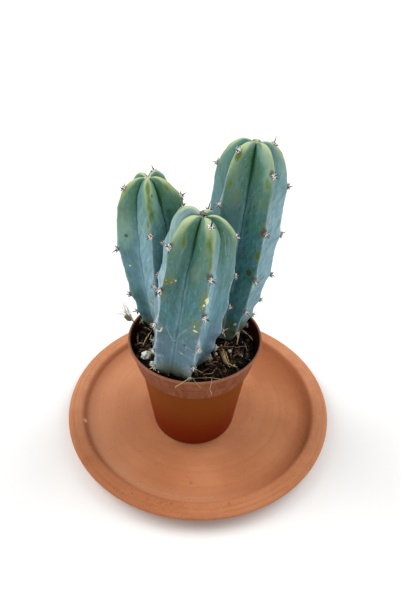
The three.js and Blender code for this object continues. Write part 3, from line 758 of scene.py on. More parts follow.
def ribBearing(c, rib, f):
    lower = np.floor(rib).astype(int)
    skew = np.array(c["skew"], float)
    skew = between(skew[lower % ribCount], skew[(lower + 1) % ribCount], rib - lower)
    slide = [np.array(c[key], float)[lower % ribCount] for key in ("slide", "slideTop")]
    skew = skew + between(*slide, blendStep(*growth["slideFrom"], f)) * np.sin(math.pi * (rib - lower)) ** 2
    return np.radians(c["turn"] + c["twist"] * (np.clip(f, 0, 1) - 0.5) + 360 / ribCount * rib + skew)


# Fractions of the height at which the skin has rings: even steps along the crest, closer on top.
def ringFractions(c):
    height = axisOf(c)[2]
    f = 1 - (1 - np.linspace(0, 1, growth["samples"])) ** growth["crowding"]
    crest = crestRadius(c, f)
    steps = np.hypot(np.diff(crest), np.diff(f) * height)
    steps = steps * (1 + growth["topDetail"] * blendStep(0.4, 1.0, f[1:]))
    travelled = np.concatenate([[0], np.cumsum(steps)])
    goals = travelled[-1] * np.arange(growth["ringCount"]) / growth["ringCount"]
    return np.interp(goals, travelled, f)


def humpAt(c, heights):
    share = np.clip(heights / axisOf(c)[2], 0, 1)
    hump = between(*growth["hump"], blendStep(*growth["humpFrom"], share))
    return hump * blendStep(*growth["calmTo"], share)


# How far the skin stands out from its plain form, and the crease mask.
def skinRelief(c, heights, ribs, signedOff, places):
    g = growth
    out = np.zeros_like(heights)
    creases = np.zeros_like(heights)
    total = axisOf(c)[2]
    calm = blendStep(*g["calmTo"], heights / total)
    for rib, areoles in enumerate(c["areoles"]):
        mine = ribs == rib
        crestward = np.exp(-(signedOff / g["crestHalf"]) ** 2) * mine
        out -= g["scallop"] * crestward * calm * blendStep(*g["scallopTo"], heights / total)
        for areole in areoles:
            gap = (heights - areole) / g["humpHalf"]
            mound = np.exp(-np.abs(gap) ** g["humpPower"]) * np.where(gap > 0, 1.0, np.exp(-0.15 * gap ** 2))
            out += humpAt(c, areole) * mound * crestward
            fall = areole + g["creaseStart"] - g["creaseFall"] * np.abs(signedOff)
            waver = 0.5 * np.sin(signedOff * 9 + areole)
            faint = blendStep(-0.3, 1.0, ripple(places, 11.0, int(areole * 7)))
            line = np.exp(-((heights - fall - waver) / g["creaseHalf"]) ** 2)
            line = line * blendStep(*g["creaseFrom"], np.abs(signedOff))
            creases = np.maximum(creases, line * mine * faint)
    fine = ripple(places, 2.6, c["seed"]) * 0.3 + ripple(places, 7.5, c["seed"] + 1)
    out += g["lumps"] * fine * calm * blendStep(0, 0.05, heights / total)
    return out - g["crease"] * creases * calm, creases


def markMask(spots, heights, ribs, signedOff, halfRib):
    mask = np.zeros_like(heights)
    for i, (rib, height, across, halfLength, halfWidth) in enumerate(spots):
        strength = 0.9 + 0.2 * math.sin(2.4 * i + 1.0)
        along = (heights - height) / halfLength
        aside = (signedOff - across) * halfRib / halfWidth
        mask = np.maximum(mask, strength * np.exp(-0.7 * (along ** 2 + aside ** 2)) * (ribs == rib))
    return mask


def scuffMask(lines, heights, place, halfRib):
    mask = np.zeros_like(heights)
    for halfWidth, way in lines:
        for (placeA, heightA), (placeB, heightB) in zip(way[:-1], way[1:]):
            x, y = (place - placeA) * 2 * halfRib, heights - heightA
            stepX, stepY = (placeB - placeA) * 2 * halfRib, heightB - heightA
            t = np.clip((x * stepX + y * stepY) / (stepX ** 2 + stepY ** 2), 0, 1)
            gap = np.hypot(x - t * stepX, y - t * stepY)
            mask = np.maximum(mask, np.exp(-(gap / halfWidth) ** 2))
    return mask


skinPaint = {
    "shade": "296155",
    "body": "3d757d",
    "slate": "4f8598",
    "sage": "507a6c",
    "bloom": "7fa7b5",
    "frost": "b4c6cd",
    "crest": "a2b68b",
    "lime": "9db366",
    "apex": "c2d29c",
    "edge": "c6d4d8",
    "young": "588068",
    "deepGreen": "2f6440",
    "leaf": "4f8650",
    "cleft": "1f4a3c",
    "heart": "3d6a1c",
    "olive": "50691f",
    "oliveEdge": "77935a",
    "ash": "587587",
    "lilac": "9aa7bd",
    "khaki": "8d8c68",
    "sandy": "6c8058",
    "moss": "6f7a45",
    "paintedLightPatch": "88ae9c",
    "paintedShadePatch": "2c6462",
    "areoleBrown": "4f3b29",
    "dust": "cdd4d8",
    "pale": "dfe0b8",
    "rust": "6b5c2c",
    "dark": "253f33",
}


def skinFinish():
    f = Finish("waxySkin")
    s = skinPaint
    spot, along = f.spot(), f.mask("along", "Vector")
    cleft, rise, wax, crease = [f.mask(key) for key in ("cleft", "rise", "wax", "crease")]
    low, fresh = f.mask("low"), f.mask("fresh")
    cloud = f.noise(spot, 13, 3, 0.55)
    blotch = f.noise(spot, 4.2, 4, 0.6)
    feather = f.noise(f.stretched(along, (0.30, 1.1, 1)), 1.0, 4, 0.6)
    streak = f.noise(f.stretched(along, (1.0, 0.10, 1)), 1.4, 3, 0.55)
    sweep = f.noise(f.stretched(along, (0.35, 0.5, 1)), 2.6, 3, 0.6)
    grain = f.noise(spot, 0.5, 2, 0.6)
    texture = cloud * 0.35 + streak * 0.45 + feather * 0.5
    f.colour = f.mix(f.ease(blotch + 0.4 * cloud, 0.4, 0.95), s["shade"], s["body"])
    # Bloom grows paler towards the grooves: thicker wax there, and painted light against their shade.
    valley = f.ease(cleft, 0.50, 0.95) * f.ease(rise, 0.8, 0.5)
    bloom = f.ease(wax * 0.8 + texture + valley * 0.25 - 0.25 * crease, 0.65, 1.4)
    f.lay(bloom * f.ease(rise, 0.97, 0.78, 1.0, 0.2), s["bloom"])
    f.lay(f.ease(wax + texture, 1.3, 2.0, 0.9), s["frost"])
    f.lay(f.ease(sweep, 0.50, 0.64, 0.5), s["slate"])
    f.lay(f.ease(sweep, 0.48, 0.36, 0.5), s["sage"])
    high = f.ease(rise + 0.12 * blotch, 0.62, 1.0)
    # Painted shade: near the top the green deepens towards the grooves.
    green = f.mix(f.ease(cleft + 0.3 * blotch - 0.2 * wax, 0.35, 0.95), s["young"], s["deepGreen"])
    green = f.mix(fresh * 0.4, green, s["leaf"])
    high = high * f.ease(wax, 1.0, 0.3, 1.0, 0.35)
    f.lay(high * f.ease(blotch + 0.3 * sweep, 0.3, 0.75, 0.9, 0.45), green)
    thread = f.noise(f.stretched(along, (1.0, 0.16, 1)), 0.8, 3, 0.6, 1.2)
    f.lay(f.ease(thread, 0.50, 0.68, 0.28), s["bloom"])
    f.lay(f.ease(thread, 0.48, 0.34, 0.3), s["shade"])
    f.lay(low * f.ease(blotch, 0.3, 0.6, 0.9, 0.5), s["ash"])
    clouded = blotch * 0.6 + cloud * 0.6 + feather * 0.35 - cleft * 0.2
    f.lay(low * f.ease(clouded, 0.70, 0.90, 0.52), s["lilac"])
    foot = f.ease(rise + 0.12 * blotch, 0.21, 0.08) * f.ease(streak + blotch, 0.65, 1.05)
    f.lay(foot * 0.9, s["khaki"])
    # The crest arches and the tip: pale young tissue, with a painted highlight along them.
    nearTop = f.ease(rise, 0.9, 0.98, 0.17)
    arch = f.ease(rise + 0.1 * sweep, 0.87, 1.0) * f.ease(cleft + 0.25 * blotch - nearTop, 0.46, 0.13)
    crest = f.mix(fresh, s["crest"], s["lime"])
    f.lay(arch * f.ease(wax, 1.0, 0.4, 0.93, 0.62), crest)
    f.lay(f.ease(rise, 0.95, 0.99) * f.ease(cleft, 0.5, 0.1, 0.6), s["apex"])
    # Painted light: paler strips beside each groove, against the shade inside it.
    paintedGrooveLight = f.ease(cleft, 0.74, 0.89) * f.ease(cleft, 0.99, 0.93) * f.ease(rise, 0.92, 0.65, 1.0, 0.15)
    paintedGrooveLight = paintedGrooveLight * f.ease(rise, 0.1, 0.4, 1.0, 0.4)
    f.lay(paintedGrooveLight * f.ease(streak + blotch, 0.7, 1.1, 0.6, 0.1), s["bloom"])
    edge = f.ease(cleft, 0.085, 0.01) * f.ease(streak + 0.5 * blotch, 0.6, 0.85, 0.9, 0.15)
    edge = edge * f.ease(rise, 0.1, 0.4, 1.0, 0.45)
    f.lay(edge * f.ease(rise, 0.92, 0.7, 0.8), s["edge"])
    # Painted shade: a dark line down each groove.
    f.lay(f.ease(cleft, 0.955, 1.0) * f.ease(rise, 0.25, 0.9, 0.8), s["cleft"])
    f.lay(f.ease(cleft, 0.78, 0.98) * f.ease(rise, 0.84, 0.97, 0.85), s["heart"])
    # Painted shade along the creases.
    f.lay(crease * f.ease(blotch, 0.45, 0.7, 0.4), s["shade"])
    ragged = f.noise(f.stretched(along, (0.75, 0.3, 1)), 1.0, 4, 0.65) * 1.1
    mottle = f.noise(f.shifted(spot, (3, 1, 7)), 0.9, 3, 0.7)

    # One kind of mark: what breaks up its outline, from and to what strength, how far, its paint.
    def mark(kind, broken, low, high, most, shade):
        f.lay(f.ease(f.mask(kind) + broken, low, high, most), s[shade])

    # Painted shade and painted light: broad darker and paler patches where the flanks are lit differently.
    mark("paintedShadePatch", 0.4 * blotch, 0.3, 1.1, 0.6, "paintedShadePatch")
    mark("paintedLightPatch", 0.4 * blotch, 0.3, 1.1, 0.6, "paintedLightPatch")
    mark("scuff", 0.7 * ragged, 0.7, 1.6, 0.36, "frost")
    mark("sandy", ragged, 0.7, 1.6, 0.45, "sandy")
    mark("olive", ragged, 0.75, 1.35, 0.6, "oliveEdge")
    mark("olive", ragged, 0.95, 1.5, 0.85, "olive")
    mark("rust", ragged, 0.55, 1.35, 0.6, "moss")
    mark("rust", mottle, 0.95, 1.6, 0.55, "rust")
    seeds = f.ease(f.cells(f.shifted(spot, (4, 1, 2)), 1.3), 0.30, 0.16)
    f.lay(seeds * f.ease(f.mask("rust"), 0.45, 0.75, 0.5), s["pale"])
    mark("pale", ragged, 1.0, 1.25, 1.0, "pale")
    mark("dark", ragged, 0.95, 1.3, 0.8, "dark")
    # Dark brown patches just beside the areoles.
    mark("areoleBrown", ragged, 0.85, 1.4, 0.8, "areoleBrown")
    dots = f.ease(f.cells(spot, 4.2), 0.10, 0.06)
    f.lay(dots * 0.6, s["dark"])
    flecks = f.ease(f.cells(f.shifted(spot, (9.0, 3.0, 5.0)), 3.1), 0.08, 0.04)
    f.lay(flecks * 0.4, s["dust"])
    flakes = f.cells(f.stretched(along, (0.5, 1.3, 1)), 1.5)
    dusting = f.ease(flakes, 0.26, 0.10) * f.ease(low, 0.1, 0.6) * f.ease(blotch, 0.46, 0.60)
    f.lay(dusting * 0.6, s["dust"])
    relief = grain * 0.35 + feather * 0.6 + f.mask("pale") * 0.8
    return f.close(f.ease(bloom, 0.0, 1.0, 0.68, 0.46), gloss=0.4, relief=relief, depth=0.10)


woolPaint = {"young": "faf8f2", "old": "e6dfcc", "heart": "2e1f1b", "apex": "c9c796"}


def woolFinish():
    f = Finish("areoleWool")
    w = woolPaint
    tone, grade = f.mask("tone"), f.mask("grade")
    fluff = f.noise(f.spot(), 0.35, 3, 0.7)
    f.colour = f.mix(tone, w["young"], w["old"])
    f.lay(f.ease(fluff, 0.55, 0.66, 0.8), w["heart"])
    f.lay(f.ease(grade + 0.3 * fluff, 0.55, 0.15, 0.8), w["heart"])
    f.lay(f.ease(tone, 1.5, 2.0), w["apex"])
    return f.close(0.95, gloss=0.1, relief=fluff + grade * 0.2, depth=0.15)


spinePaint = {"base": "0f0808", "tip": "2c211e", "pale": "e4e2bd", "paleBase": "b3ad83"}


def spineFinish():
    f = Finish("hornySpine")
    w = spinePaint
    mottle = f.noise(f.spot(), 0.6, 2, 0.5)
    worn = f.mask("grade") + 0.4 * mottle
    dark = f.mix(f.ease(worn, 0.5, 1.1), w["base"], w["tip"])
    light = f.mix(f.ease(worn, 0.2, 0.7), w["paleBase"], w["pale"])
    f.colour = f.mix(f.mask("tone"), dark, light)
    return f.close(f.ease(mottle, 0.2, 0.8, 0.6, 0.4), relief=mottle, depth=0.03)


areolePlan = {
    "radius": 1.15,
    "unequal": (0.85, 1.1),
    "height": 0.6,
    "hairs": 26,
    "hairLength": (0.6, 1.1),
    "hairRadii": [0.07, 0.06, 0.03],
    "hairSpread": (0.2, 1.35),  # every spread is an angle from straight outwards
    "hairBend": 0.35,
    "radials": (6, 8),
    "radialLength": (1.2, 2.2),
    "radialSpread": (0.95, 1.35),
    "centralLength": (2.0, 3.2),
    "centralSpread": (0.15, 0.5),
    "centralThick": 1.25,
    "spineRadius": 0.27,
    "spineEnd": 0.03,
    "spineBend": 0.12,
    "apexSize": [0.75, 0.75, 0.65],
    "apexCount": 6,  # young cushions in a ring, and one more in the middle
    "apexReach": (0.7, 1.1),
    "apexHairs": 8,
    "apexHairLength": (0.6, 1.0),
}

# What a spine's end keeps off: the pot below a level, the soil and the other columns. span is the part
# of a column's height that counts, and shorter is how much of the length a spine in the way keeps.
clearance = {"below": 61.0, "fromPot": 29.6, "soil": 0.8, "stem": 1.0, "span": (-0.1, 1.04), "shorter": 0.55}

# Spines that the photo shows: the long ones by their length, and old pale ones by how far each points
# outwards and up the rib, and its length. The keys are column, rib and the areole's height.
longSpines = {("front", 0, 73.4): 4.4, ("front", 2, 73): 4.2}
paleSpines = {("front", 1, 21.5): [(0.75, -0.65, 3.3), (0.85, 0.5, 2.6)]}
paleForm = {"points": 8, "bend": 0.25, "radii": (0.2, 0.06), "sides": 6}

# A dry, pale curl of fibre that lies on the front column's skin: height and place across a rib.
dryCurl = {
    "column": "front", "rib": 4, "points": 26, "sides": 7, "standOff": 0.55, "sway": 0.25,
    "way": [(31.0, -0.02), (29.0, 0.03), (27.5, 0.09), (27.1, 0.15), (28.0, 0.21), (30.3, 0.24)],
    "thickness": 0.4,
    # Places along it and the shares of its thickness there.
    "fullness": ([0, 0.6, 0.9, 1], [0.5, 1.0, 1.1, 0.5]),
}


# Where an areole sits on its crest, and the directions along the rib, across it and out of it.
def areoleFrame(c, rib, height):
    f = height / axisOf(c)[2]
    at = [skinPoint(c, v, rib) for v in (f, min(f + 0.006, 0.9995), f - 0.006)]
    bearing = ribBearing(c, rib, f)
    along = unit(at[1] - at[2])
    side = np.array([-math.sin(bearing), math.cos(bearing), 0])
    facing = unit(np.cross(side, along))
    return at[0] + facing * (humpAt(c, height) - growth["scallop"]), along, side, facing


def isClear(point, ownName):
    k = clearance
    outside = fromPot(point[0], point[1]) > k["fromPot"]
    if point[2] < k["below"] and (outside or point[2] < soilLevel + k["soil"]):
        return False
    for name, c in columns.items():
        foot, lean, height = axisOf(c)
        f = (point - foot) @ lean / height
        away = np.linalg.norm(np.cross(point - foot, lean))
        beside = k["span"][0] < f < k["span"][1] and away < crestRadius(c, f) + k["stem"]
        if name != ownName and beside:
            return False
    return True


def growPaleSpines(c, name, rib, height, spines):
    k = paleForm
    place, along, _, facing = areoleFrame(c, rib, height)
    for outward, upward, length in paleSpines[name, rib, height]:
        out = unit(outward * facing + upward * along)
        t = np.linspace(0, 1, k["points"])[:, None]
        path = place + out * length * t + k["bend"] * length * t ** 2 * along * np.sign(upward)
        spines.tube(standing(c, path), np.linspace(*k["radii"], k["points"]), k["sides"], 1.0)


def layCurl(c, spines):
    d = dryCurl
    way = smoothPath(d["way"], d["points"])
    f, place = way[:, 0] / axisOf(c)[2], d["rib"] + way[:, 1] / 2
    t = np.linspace(0, 1, d["points"])
    standOff = d["standOff"] + d["sway"] * np.sin(9 * t)
    lifted = skinPoint(c, f, place) + polar(ribBearing(c, place, f), standOff, 0)
    radii = d["thickness"] * np.interp(t, *d["fullness"])
    spines.tube(standing(c, lifted), radii, d["sides"], 1.0)


# A cushion's form, uneven, and how high each of its points lies on it.
def cushion(detail, size, rng):
    form = balls[detail][0]
    uneven = 1 + 0.12 * ripple(form * 3, 3.0, int(rng.integers(1e6)))
    return form * size * uneven[:, None], np.clip(form[:, 2], 0, 1)


# A short line that bends as it goes: the shares of its reach and of its bend at each point.
def bentLine(root, reach, bend, shares):
    return np.array([root + reach * ahead + bend * aside for ahead, aside in shares])


def growAreole(c, name, rib, height, rng, wool, spines):
    a = areolePlan
    place, along, side, facing = areoleFrame(c, rib, height)

    def leaning(turn, spread):
        flatwise = math.cos(turn) * along + math.sin(turn) * side
        return flatwise, math.cos(spread) * facing + math.sin(spread) * flatwise

    share = height / axisOf(c)[2]
    age = float(np.clip(0.75 - 1.7 * share + 0.25 * rng.normal(), 0, 1))
    size = a["radius"] * rng.uniform(*a["unequal"]) * between(0.8, 1.0, blendStep(0.1, 0.4, share))
    lump, top = cushion(3, [size * 1.1, size * 0.9, a["height"]], rng)
    lump = place + lump[:, :1] * along + lump[:, 1:2] * side + (lump[:, 2:] + 0.1) * facing
    wool.lump(standing(c, lump), 3, age, top)
    for _ in range(a["hairs"]):
        turn, spread = rng.uniform(0, 2 * math.pi), rng.uniform(*a["hairSpread"])
        flatwise, out = leaning(turn, spread)
        root = place + flatwise * size * 0.75 * math.sin(spread)
        root = root + facing * a["height"] * 0.8 * math.cos(spread)
        length = rng.uniform(*a["hairLength"])
        bend = a["hairBend"] * length * unit(rng.normal(size=3))
        path = bentLine(root, out * length, bend, ((0, 0), (0.5, 0.4), (1, 1)))
        wool.tube(standing(c, path), a["hairRadii"], 3, age)
    count = int(rng.integers(a["radials"][0], a["radials"][1] + 1))
    start = rng.uniform(0, math.pi)
    for i in range(count + 1):
        central = i == count
        kind = "central" if central else "radial"
        spread = rng.uniform(*a[kind + "Spread"])
        flatwise, out = leaning(start + i * 2 * math.pi / count + rng.uniform(-0.2, 0.2), spread)
        length = rng.uniform(*a[kind + "Length"])
        if central and (name, rib, height) in longSpines:
            length, out = longSpines[name, rib, height], unit(0.2 * facing + [0, 0, 1])
        root = place + facing * a["height"] * 0.35 + flatwise * 0.25
        bend = a["spineBend"] * length * unit(rng.normal(size=3))
        for _ in range(3):
            if isClear(standing(c, root + out * length + bend), name):
                break
            length *= clearance["shorter"]
        path = bentLine(root, out * length, bend, ((0, 0), (0.35, 0.1), (0.7, 0.45), (1, 1)))
        thick = a["spineRadius"] * (a["centralThick"] if central else 1.0)
        spines.tube(standing(c, path), [thick, thick * 0.75, thick * 0.45, a["spineEnd"]], 6, age * 0.8)


# The young areoles crowded round the growing point.
def growApex(c, rng, wool, spines):
    a = areolePlan
    top = skinPoint(c, 1.0, 0)
    for i in range(a["apexCount"] + 1):
        angle = 2 * math.pi * i / a["apexCount"] + rng.uniform(-0.3, 0.3)
        reach = 0.0 if i == a["apexCount"] else rng.uniform(*a["apexReach"])
        heading = np.array([math.cos(angle), math.sin(angle), 0])
        spot = top + reach * heading + [0, 0, 0.1]
        lump, high = cushion(2, a["apexSize"], rng)
        wool.lump(standing(c, spot + lump), 2, c["tuft"], high)
        for _ in range(a["apexHairs"]):
            out = unit(heading * 0.5 + [0, 0, 1] + 0.5 * rng.normal(size=3))
            length = rng.uniform(*a["apexHairLength"])
            path = [spot + out * (0.3 + length * part) for part in (0, 0.5, 1)]
            wool.tube(standing(c, np.array(path)), a["hairRadii"], 3, c["tuft"])
    count, reach, thick = c["crown"]
    for i in range(count):
        angle = 2 * math.pi * (i + 0.4) / count
        lean = 0.7 + 0.35 * math.sin(3.7 * i)
        out = unit(np.array([math.cos(angle) * lean, math.sin(angle) * lean, 1.0]))
        path = [top + out * reach * (0.85 + 0.15 * math.sin(2.3 * i)) * part for part in (0.2, 0.6, 1.0)]
        spines.tube(standing(c, np.array(path)), thick * np.array([1.0, 0.75, 0.25]), 5, 0.0)


def buildColumn(name, c, skin, woolLook, spineLook):
    g = growth
    rays = ribCount * g["raysPerRib"]
    ribPlace = np.arange(rays) / g["raysPerRib"]
    f, place = np.meshgrid(ringFractions(c), ribPlace, indexing="ij")
    near = np.round(place)
    ribs, signedOff = near.astype(int) % ribCount, (place - near) * 2
    off, heights = np.abs(signedOff), f * axisOf(c)[2]
    base = skinPoint(c, f, place)
    across = np.roll(base, -1, 1) - np.roll(base, 1, 1)
    normal = unit(np.cross(across, np.gradient(base, axis=0)) + 1e-12)
    relief, creases = skinRelief(c, heights, ribs, signedOff, base)
    rootRadius = c["girth"] * c["footRatio"] * g["rootShare"]
    bearing = ribBearing(c, ribPlace, 0)
    below = [polar(bearing, rootRadius * share, -c["root"]) for share in g["rootTaper"]]
    below.append(polar(bearing, rootRadius, -g["rootNeck"]))
    rows = np.concatenate([np.stack(below), base + normal * relief[..., None]])
    ends = [[0, 0, -c["root"]], skinPoint(c, 1.0, 0)]
    points = standing(c, np.concatenate([rows.reshape(-1, 3), ends]))

    def spread(values, foot=0.0, top=0.0):
        return np.concatenate([np.full(len(below) * rays, foot), values.ravel(), [foot, top]])

    halfRib = crestRadius(c, f) * math.pi / ribCount
    left, right = np.array(c["wax"]).T[:, ribs]
    wax = between(left, right, blendStep(-0.06, 0.06, signedOff))
    wax = between(wax, 0.5 * (wax + np.roll(wax, -1, 1)), blendStep(0.97, 1.0, off))
    fallen = heights + off * g["creaseFall"]
    low = c["lilac"] * blendStep(*g["lilacFrom"], fallen + 1.6 * ripple(base, 9.0, c["seed"] + 4))
    masks = {"low": spread(low), "wax": spread(wax, 0.4, 0.4), "cleft": spread(off, 0.5, 0.5),
             "rise": spread(f, 0.0, 1.0), "crease": spread(creases),
             "scuff": spread(scuffMask(scuffs[name], heights, place, halfRib)),
             "fresh": np.full(len(points), c["fresh"])}
    for kind, spots in marks[name].items():
        masks[kind] = spread(markMask(spots, heights, ribs, signedOff, halfRib))
    along = [signedOff * halfRib, fallen, ribs * 37.0 + c["seed"]]
    masks["along"] = np.stack([spread(values) for values in along], -1)
    piece = makePiece("skin_" + name, points, closedFaces(len(rows), rays), skin, masks)
    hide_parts("stem_" + name)
    rng = np.random.default_rng(c["seed"])
    wool, spines = Heap(), Heap()
    for rib, areoles in enumerate(c["areoles"]):
        for areole in areoles:
            growAreole(c, name, rib, areole, rng, wool, spines)
            if (name, rib, areole) in paleSpines:
                growPaleSpines(c, name, rib, areole, spines)
    if name == dryCurl["column"]:
        layCurl(c, spines)
    growApex(c, rng, wool, spines)
    for rib, areole in c["youngest"]:
        growAreole(c, name, rib, areole, rng, wool, spines)
    wool.piece("wool_" + name, woolLook, "cactus_skin")
    spines.piece("spines_" + name, spineLook, "cactus_skin")


skin, woolLook, spineLook = skinFinish(), woolFinish(), spineFinish()
for name, column in columns.items():
    buildColumn(name, column, skin, woolLook, spineLook)
    print("column built:", name)


# Peaty soil: its bed, crumbs, dry fibres and white grains.
soilPlan = {
    "swell": 0.5,
    "leftBank": 1.3,
    "rightHollow": 0.9,
    "edgeDrop": 1.2,
    "edgeFall": (24.0, 29.5),  # distances from the pot's axis between which it drops to the wall
    "rough": [(0.28, 3.4, 5), (0.14, 1.3, 6)],  # depth, length and seed of its unevenness
    "side": [(0, 2.3), (18.9, 2.3), (20.5, 3.1), (25.5, 41.8), (26.9, 43.1)],  # below: radius and height
    "stemShare": 0.86,  # how much of a stem's foot keeps loose pieces off
    "wallGap": 0.35,
    "rings": 70,
    "segments": 170,
    "seed": 41,
    # The higher a kind's bias, the more of its pieces are small.
    "crumbs": {"count": 1700, "reach": 29.0, "size": (0.3, 1.4), "bias": 2.2, "squash": (0.5, 1.2),
               "lift": (-0.1, 0.6), "fineTo": 0.7},
    "strips": {"count": 210, "reach": 27.0, "length": (2.0, 8.0), "radius": (0.25, 0.75), "bias": 1.8,
               "bend": 0.25, "points": 8, "limit": 28.8, "heaped": 5},
    "fibres": {"count": 170, "reach": 26.5, "length": (3.5, 13.0), "radius": (0.08, 0.24), "bias": 2,
               "bend": 0.9, "points": 9, "limit": 29.0},
    "grains": {"count": 26, "reach": 27.5, "size": (0.2, 0.6), "bias": 1.5, "squash": (0.8, 1.1)},
    "dark": "0b0806",
    "brown": "2c1b12",
    "crumb": "6b4f38",
    "tan": "7d6246",
    "fibre": "33200f",
    "straw": "cfae7e",
}

# White grains that the photo shows: x, y and size.
placedGrains = [
    (14.2, -14.3, 0.95), (7.7, -17.3, 0.8), (19.5, -17.7, 0.75), (16, -23.5, 0.5), (23.1, -20.2, 0.6),
    (18.1, 4.7, 0.8), (-21.5, -25.5, 1.15), (-19.6, -27.6, 0.6), (-17.9, -29.6, 0.55),
]

# Where the photo shows strips of bark heaped up, most of them against the wall.
darkStrips = [
    (-28.5, 1), (-26.4, -6), (-29, -5.4), (-26.9, -10.5), (-27.6, -15.4), (22.4, -1.2), (15.5, -8.9),
    (10.3, -28), (20.6, -14),
]


def soilRelief(x, y):
    s = soilPlan
    rolling = np.sin(x * 0.31 + 1.2) * np.cos(y * 0.27 - 0.6) + 0.6 * np.sin(x * 0.71 - y * 0.53)
    hollow = s["rightHollow"] * blendStep(6, 26, (x + y - potPlan["x"] - potPlan["y"]) * 0.7)
    bank = s["leftBank"] * blendStep(6, 24, potPlan["x"] - x)
    return s["swell"] * rolling - hollow + bank


def wallRadius(level):  # inner radius of the collar at a height above the saucer's underside
    p = potPlan
    rise = (level - p["bottom"] - p["collarFoot"]) / p["collarHeight"]
    return between(*p["collarRadii"], np.clip(rise, 0, 1))


def soilSurface(x, y):
    s = soilPlan
    edge = s["edgeDrop"] * blendStep(*s["edgeFall"], fromPot(x, y))
    flat = np.stack([x, y, 0 * x], -1)
    rough = sum(depth * ripple(flat, length, seed) for depth, length, seed in s["rough"])
    return soilLevel + soilRelief(x, y) - edge + rough


def insideStem(x, y):
    hit = np.zeros(np.shape(x), bool)
    for c in columns.values():
        foot = c["foot"]
        hit |= np.hypot(x - foot[0], y - foot[1]) < crestRadius(c, 0.01) * soilPlan["stemShare"]
    return hit


def soilFinish(name, dark, light, rough=0.95):
    f = Finish(name)
    spot = f.spot()
    tone, grade = f.mask("tone"), f.mask("grade")
    clod = f.noise(spot, 2.2, 4, 0.65)
    dust = f.noise(spot, 0.4, 3, 0.7)
    f.colour = f.mix(f.ease(tone + 0.6 * clod - 0.3, 0.1, 1.0), dark, light)
    f.lay(f.ease(dust, 0.56, 0.8, 0.2), soilPlan["tan"])
    relief = dust + clod * 0.6 + grade * 0.05
    return f.close(f.ease(dust, 0.3, 0.7, rough, rough - 0.08), gloss=0.2, relief=relief, depth=0.2)


def buildBed():
    s, p = soilPlan, potPlan
    edge = wallRadius(soilLevel - s["edgeDrop"]) - s["wallGap"]
    side = [[r, p["bottom"] + level] for r, level in s["side"]]
    radii = edge * np.linspace(1, 0, s["rings"] + 1) ** 0.8
    profile = np.array(side + [[r, soilLevel] for r in radii])
    points, faces = turnedForm(profile, s["segments"], (p["x"], p["y"]))
    top = points[:, 2] == soilLevel
    points[top, 2] = soilSurface(points[top, 0], points[top, 1])
    look = soilFinish("dampPeat", s["dark"], s["brown"])
    piece = makePiece("peat_bed", points, faces, look, {"tone": np.full(len(points), 0.15)})
    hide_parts("soil")


def scatterSpot(rng, reach):
    for _ in range(60):
        r, a = reach * math.sqrt(rng.uniform()), rng.uniform(0, 2 * math.pi)
        x, y = potPlan["x"] + r * math.cos(a), potPlan["y"] + r * math.sin(a)
        if not insideStem(x, y):
            break
    return x, y


def lumpPoints(detail, size, rng, rough=0.16):
    form = balls[detail][0]
    shape = form * (1 + rough * rng.normal(size=(len(form), 1)))
    axis, angle = unit(rng.normal(size=3)), rng.uniform(0, 6.28)
    return (shape * size) @ np.array(Matrix.Rotation(angle, 3, Vector(axis))).T


def buildCrumbs():
    s, k = soilPlan, soilPlan["crumbs"]
    rng = np.random.default_rng(s["seed"])
    crumbs = Heap()
    for _ in range(k["count"]):
        x, y = scatterSpot(rng, k["reach"])
        size = between(*k["size"], rng.uniform() ** k["bias"])
        detail = 2 if size > k["fineTo"] else 1
        shape = lumpPoints(detail, size * rng.uniform(*k["squash"], 3), rng)
        level = soilSurface(x, y) + size * rng.uniform(*k["lift"])
        crumbs.lump(shape + [x, y, level], detail, 0.6 * rng.uniform() ** 3)
    for _ in range(s["strips"]["count"]):
        addStrip(crumbs, rng, *scatterSpot(rng, s["strips"]["reach"]))
    for x, y in darkStrips:
        for _ in range(s["strips"]["heaped"]):
            addStrip(crumbs, rng, x + rng.normal() * 1.2, y + rng.normal() * 2.0)
    crumbs.piece("peat_crumbs", soilFinish("peatCrumb", s["dark"], s["crumb"]), "peat_soil")


# A bent line that lies flat in the pot, or nothing where it would leave it or cross a stem.
def lyingLine(k, rng, x, y):
    length = between(*k["length"], rng.uniform() ** 1.6)
    heading, bend = rng.uniform(0, 2 * math.pi), rng.normal() * k["bend"]
    bearing = heading + bend * np.linspace(-1, 1, k["points"])
    steps = [np.cumsum(turn(bearing)) * length / k["points"] for turn in (np.cos, np.sin)]
    px, py = x + steps[0] - steps[0].mean(), y + steps[1] - steps[1].mean()
    if fromPot(px, py).max() > k["limit"] or insideStem(px, py).any():
        return None
    return px, py


# One torn strip of bark, lying on the soil a little tilted.
def addStrip(heap, rng, x, y):
    k = soilPlan["strips"]
    line = lyingLine(k, rng, x, y)
    if line is None:
        return
    radius = between(*k["radius"], rng.uniform() ** k["bias"]) * taper(k["points"], 0.6, 2.5)
    radius = radius * rng.uniform(0.7, 1.25, k["points"])
    level = soilSurface(*line) + 0.3 + rng.uniform(-0.2, 0.5)
    level = level + np.linspace(-0.45, 0.45, k["points"]) * rng.normal()
    heap.tube(np.stack([*line, level], -1), radius, 7, rng.uniform() ** 2.4, rng.uniform(0.35, 0.7))


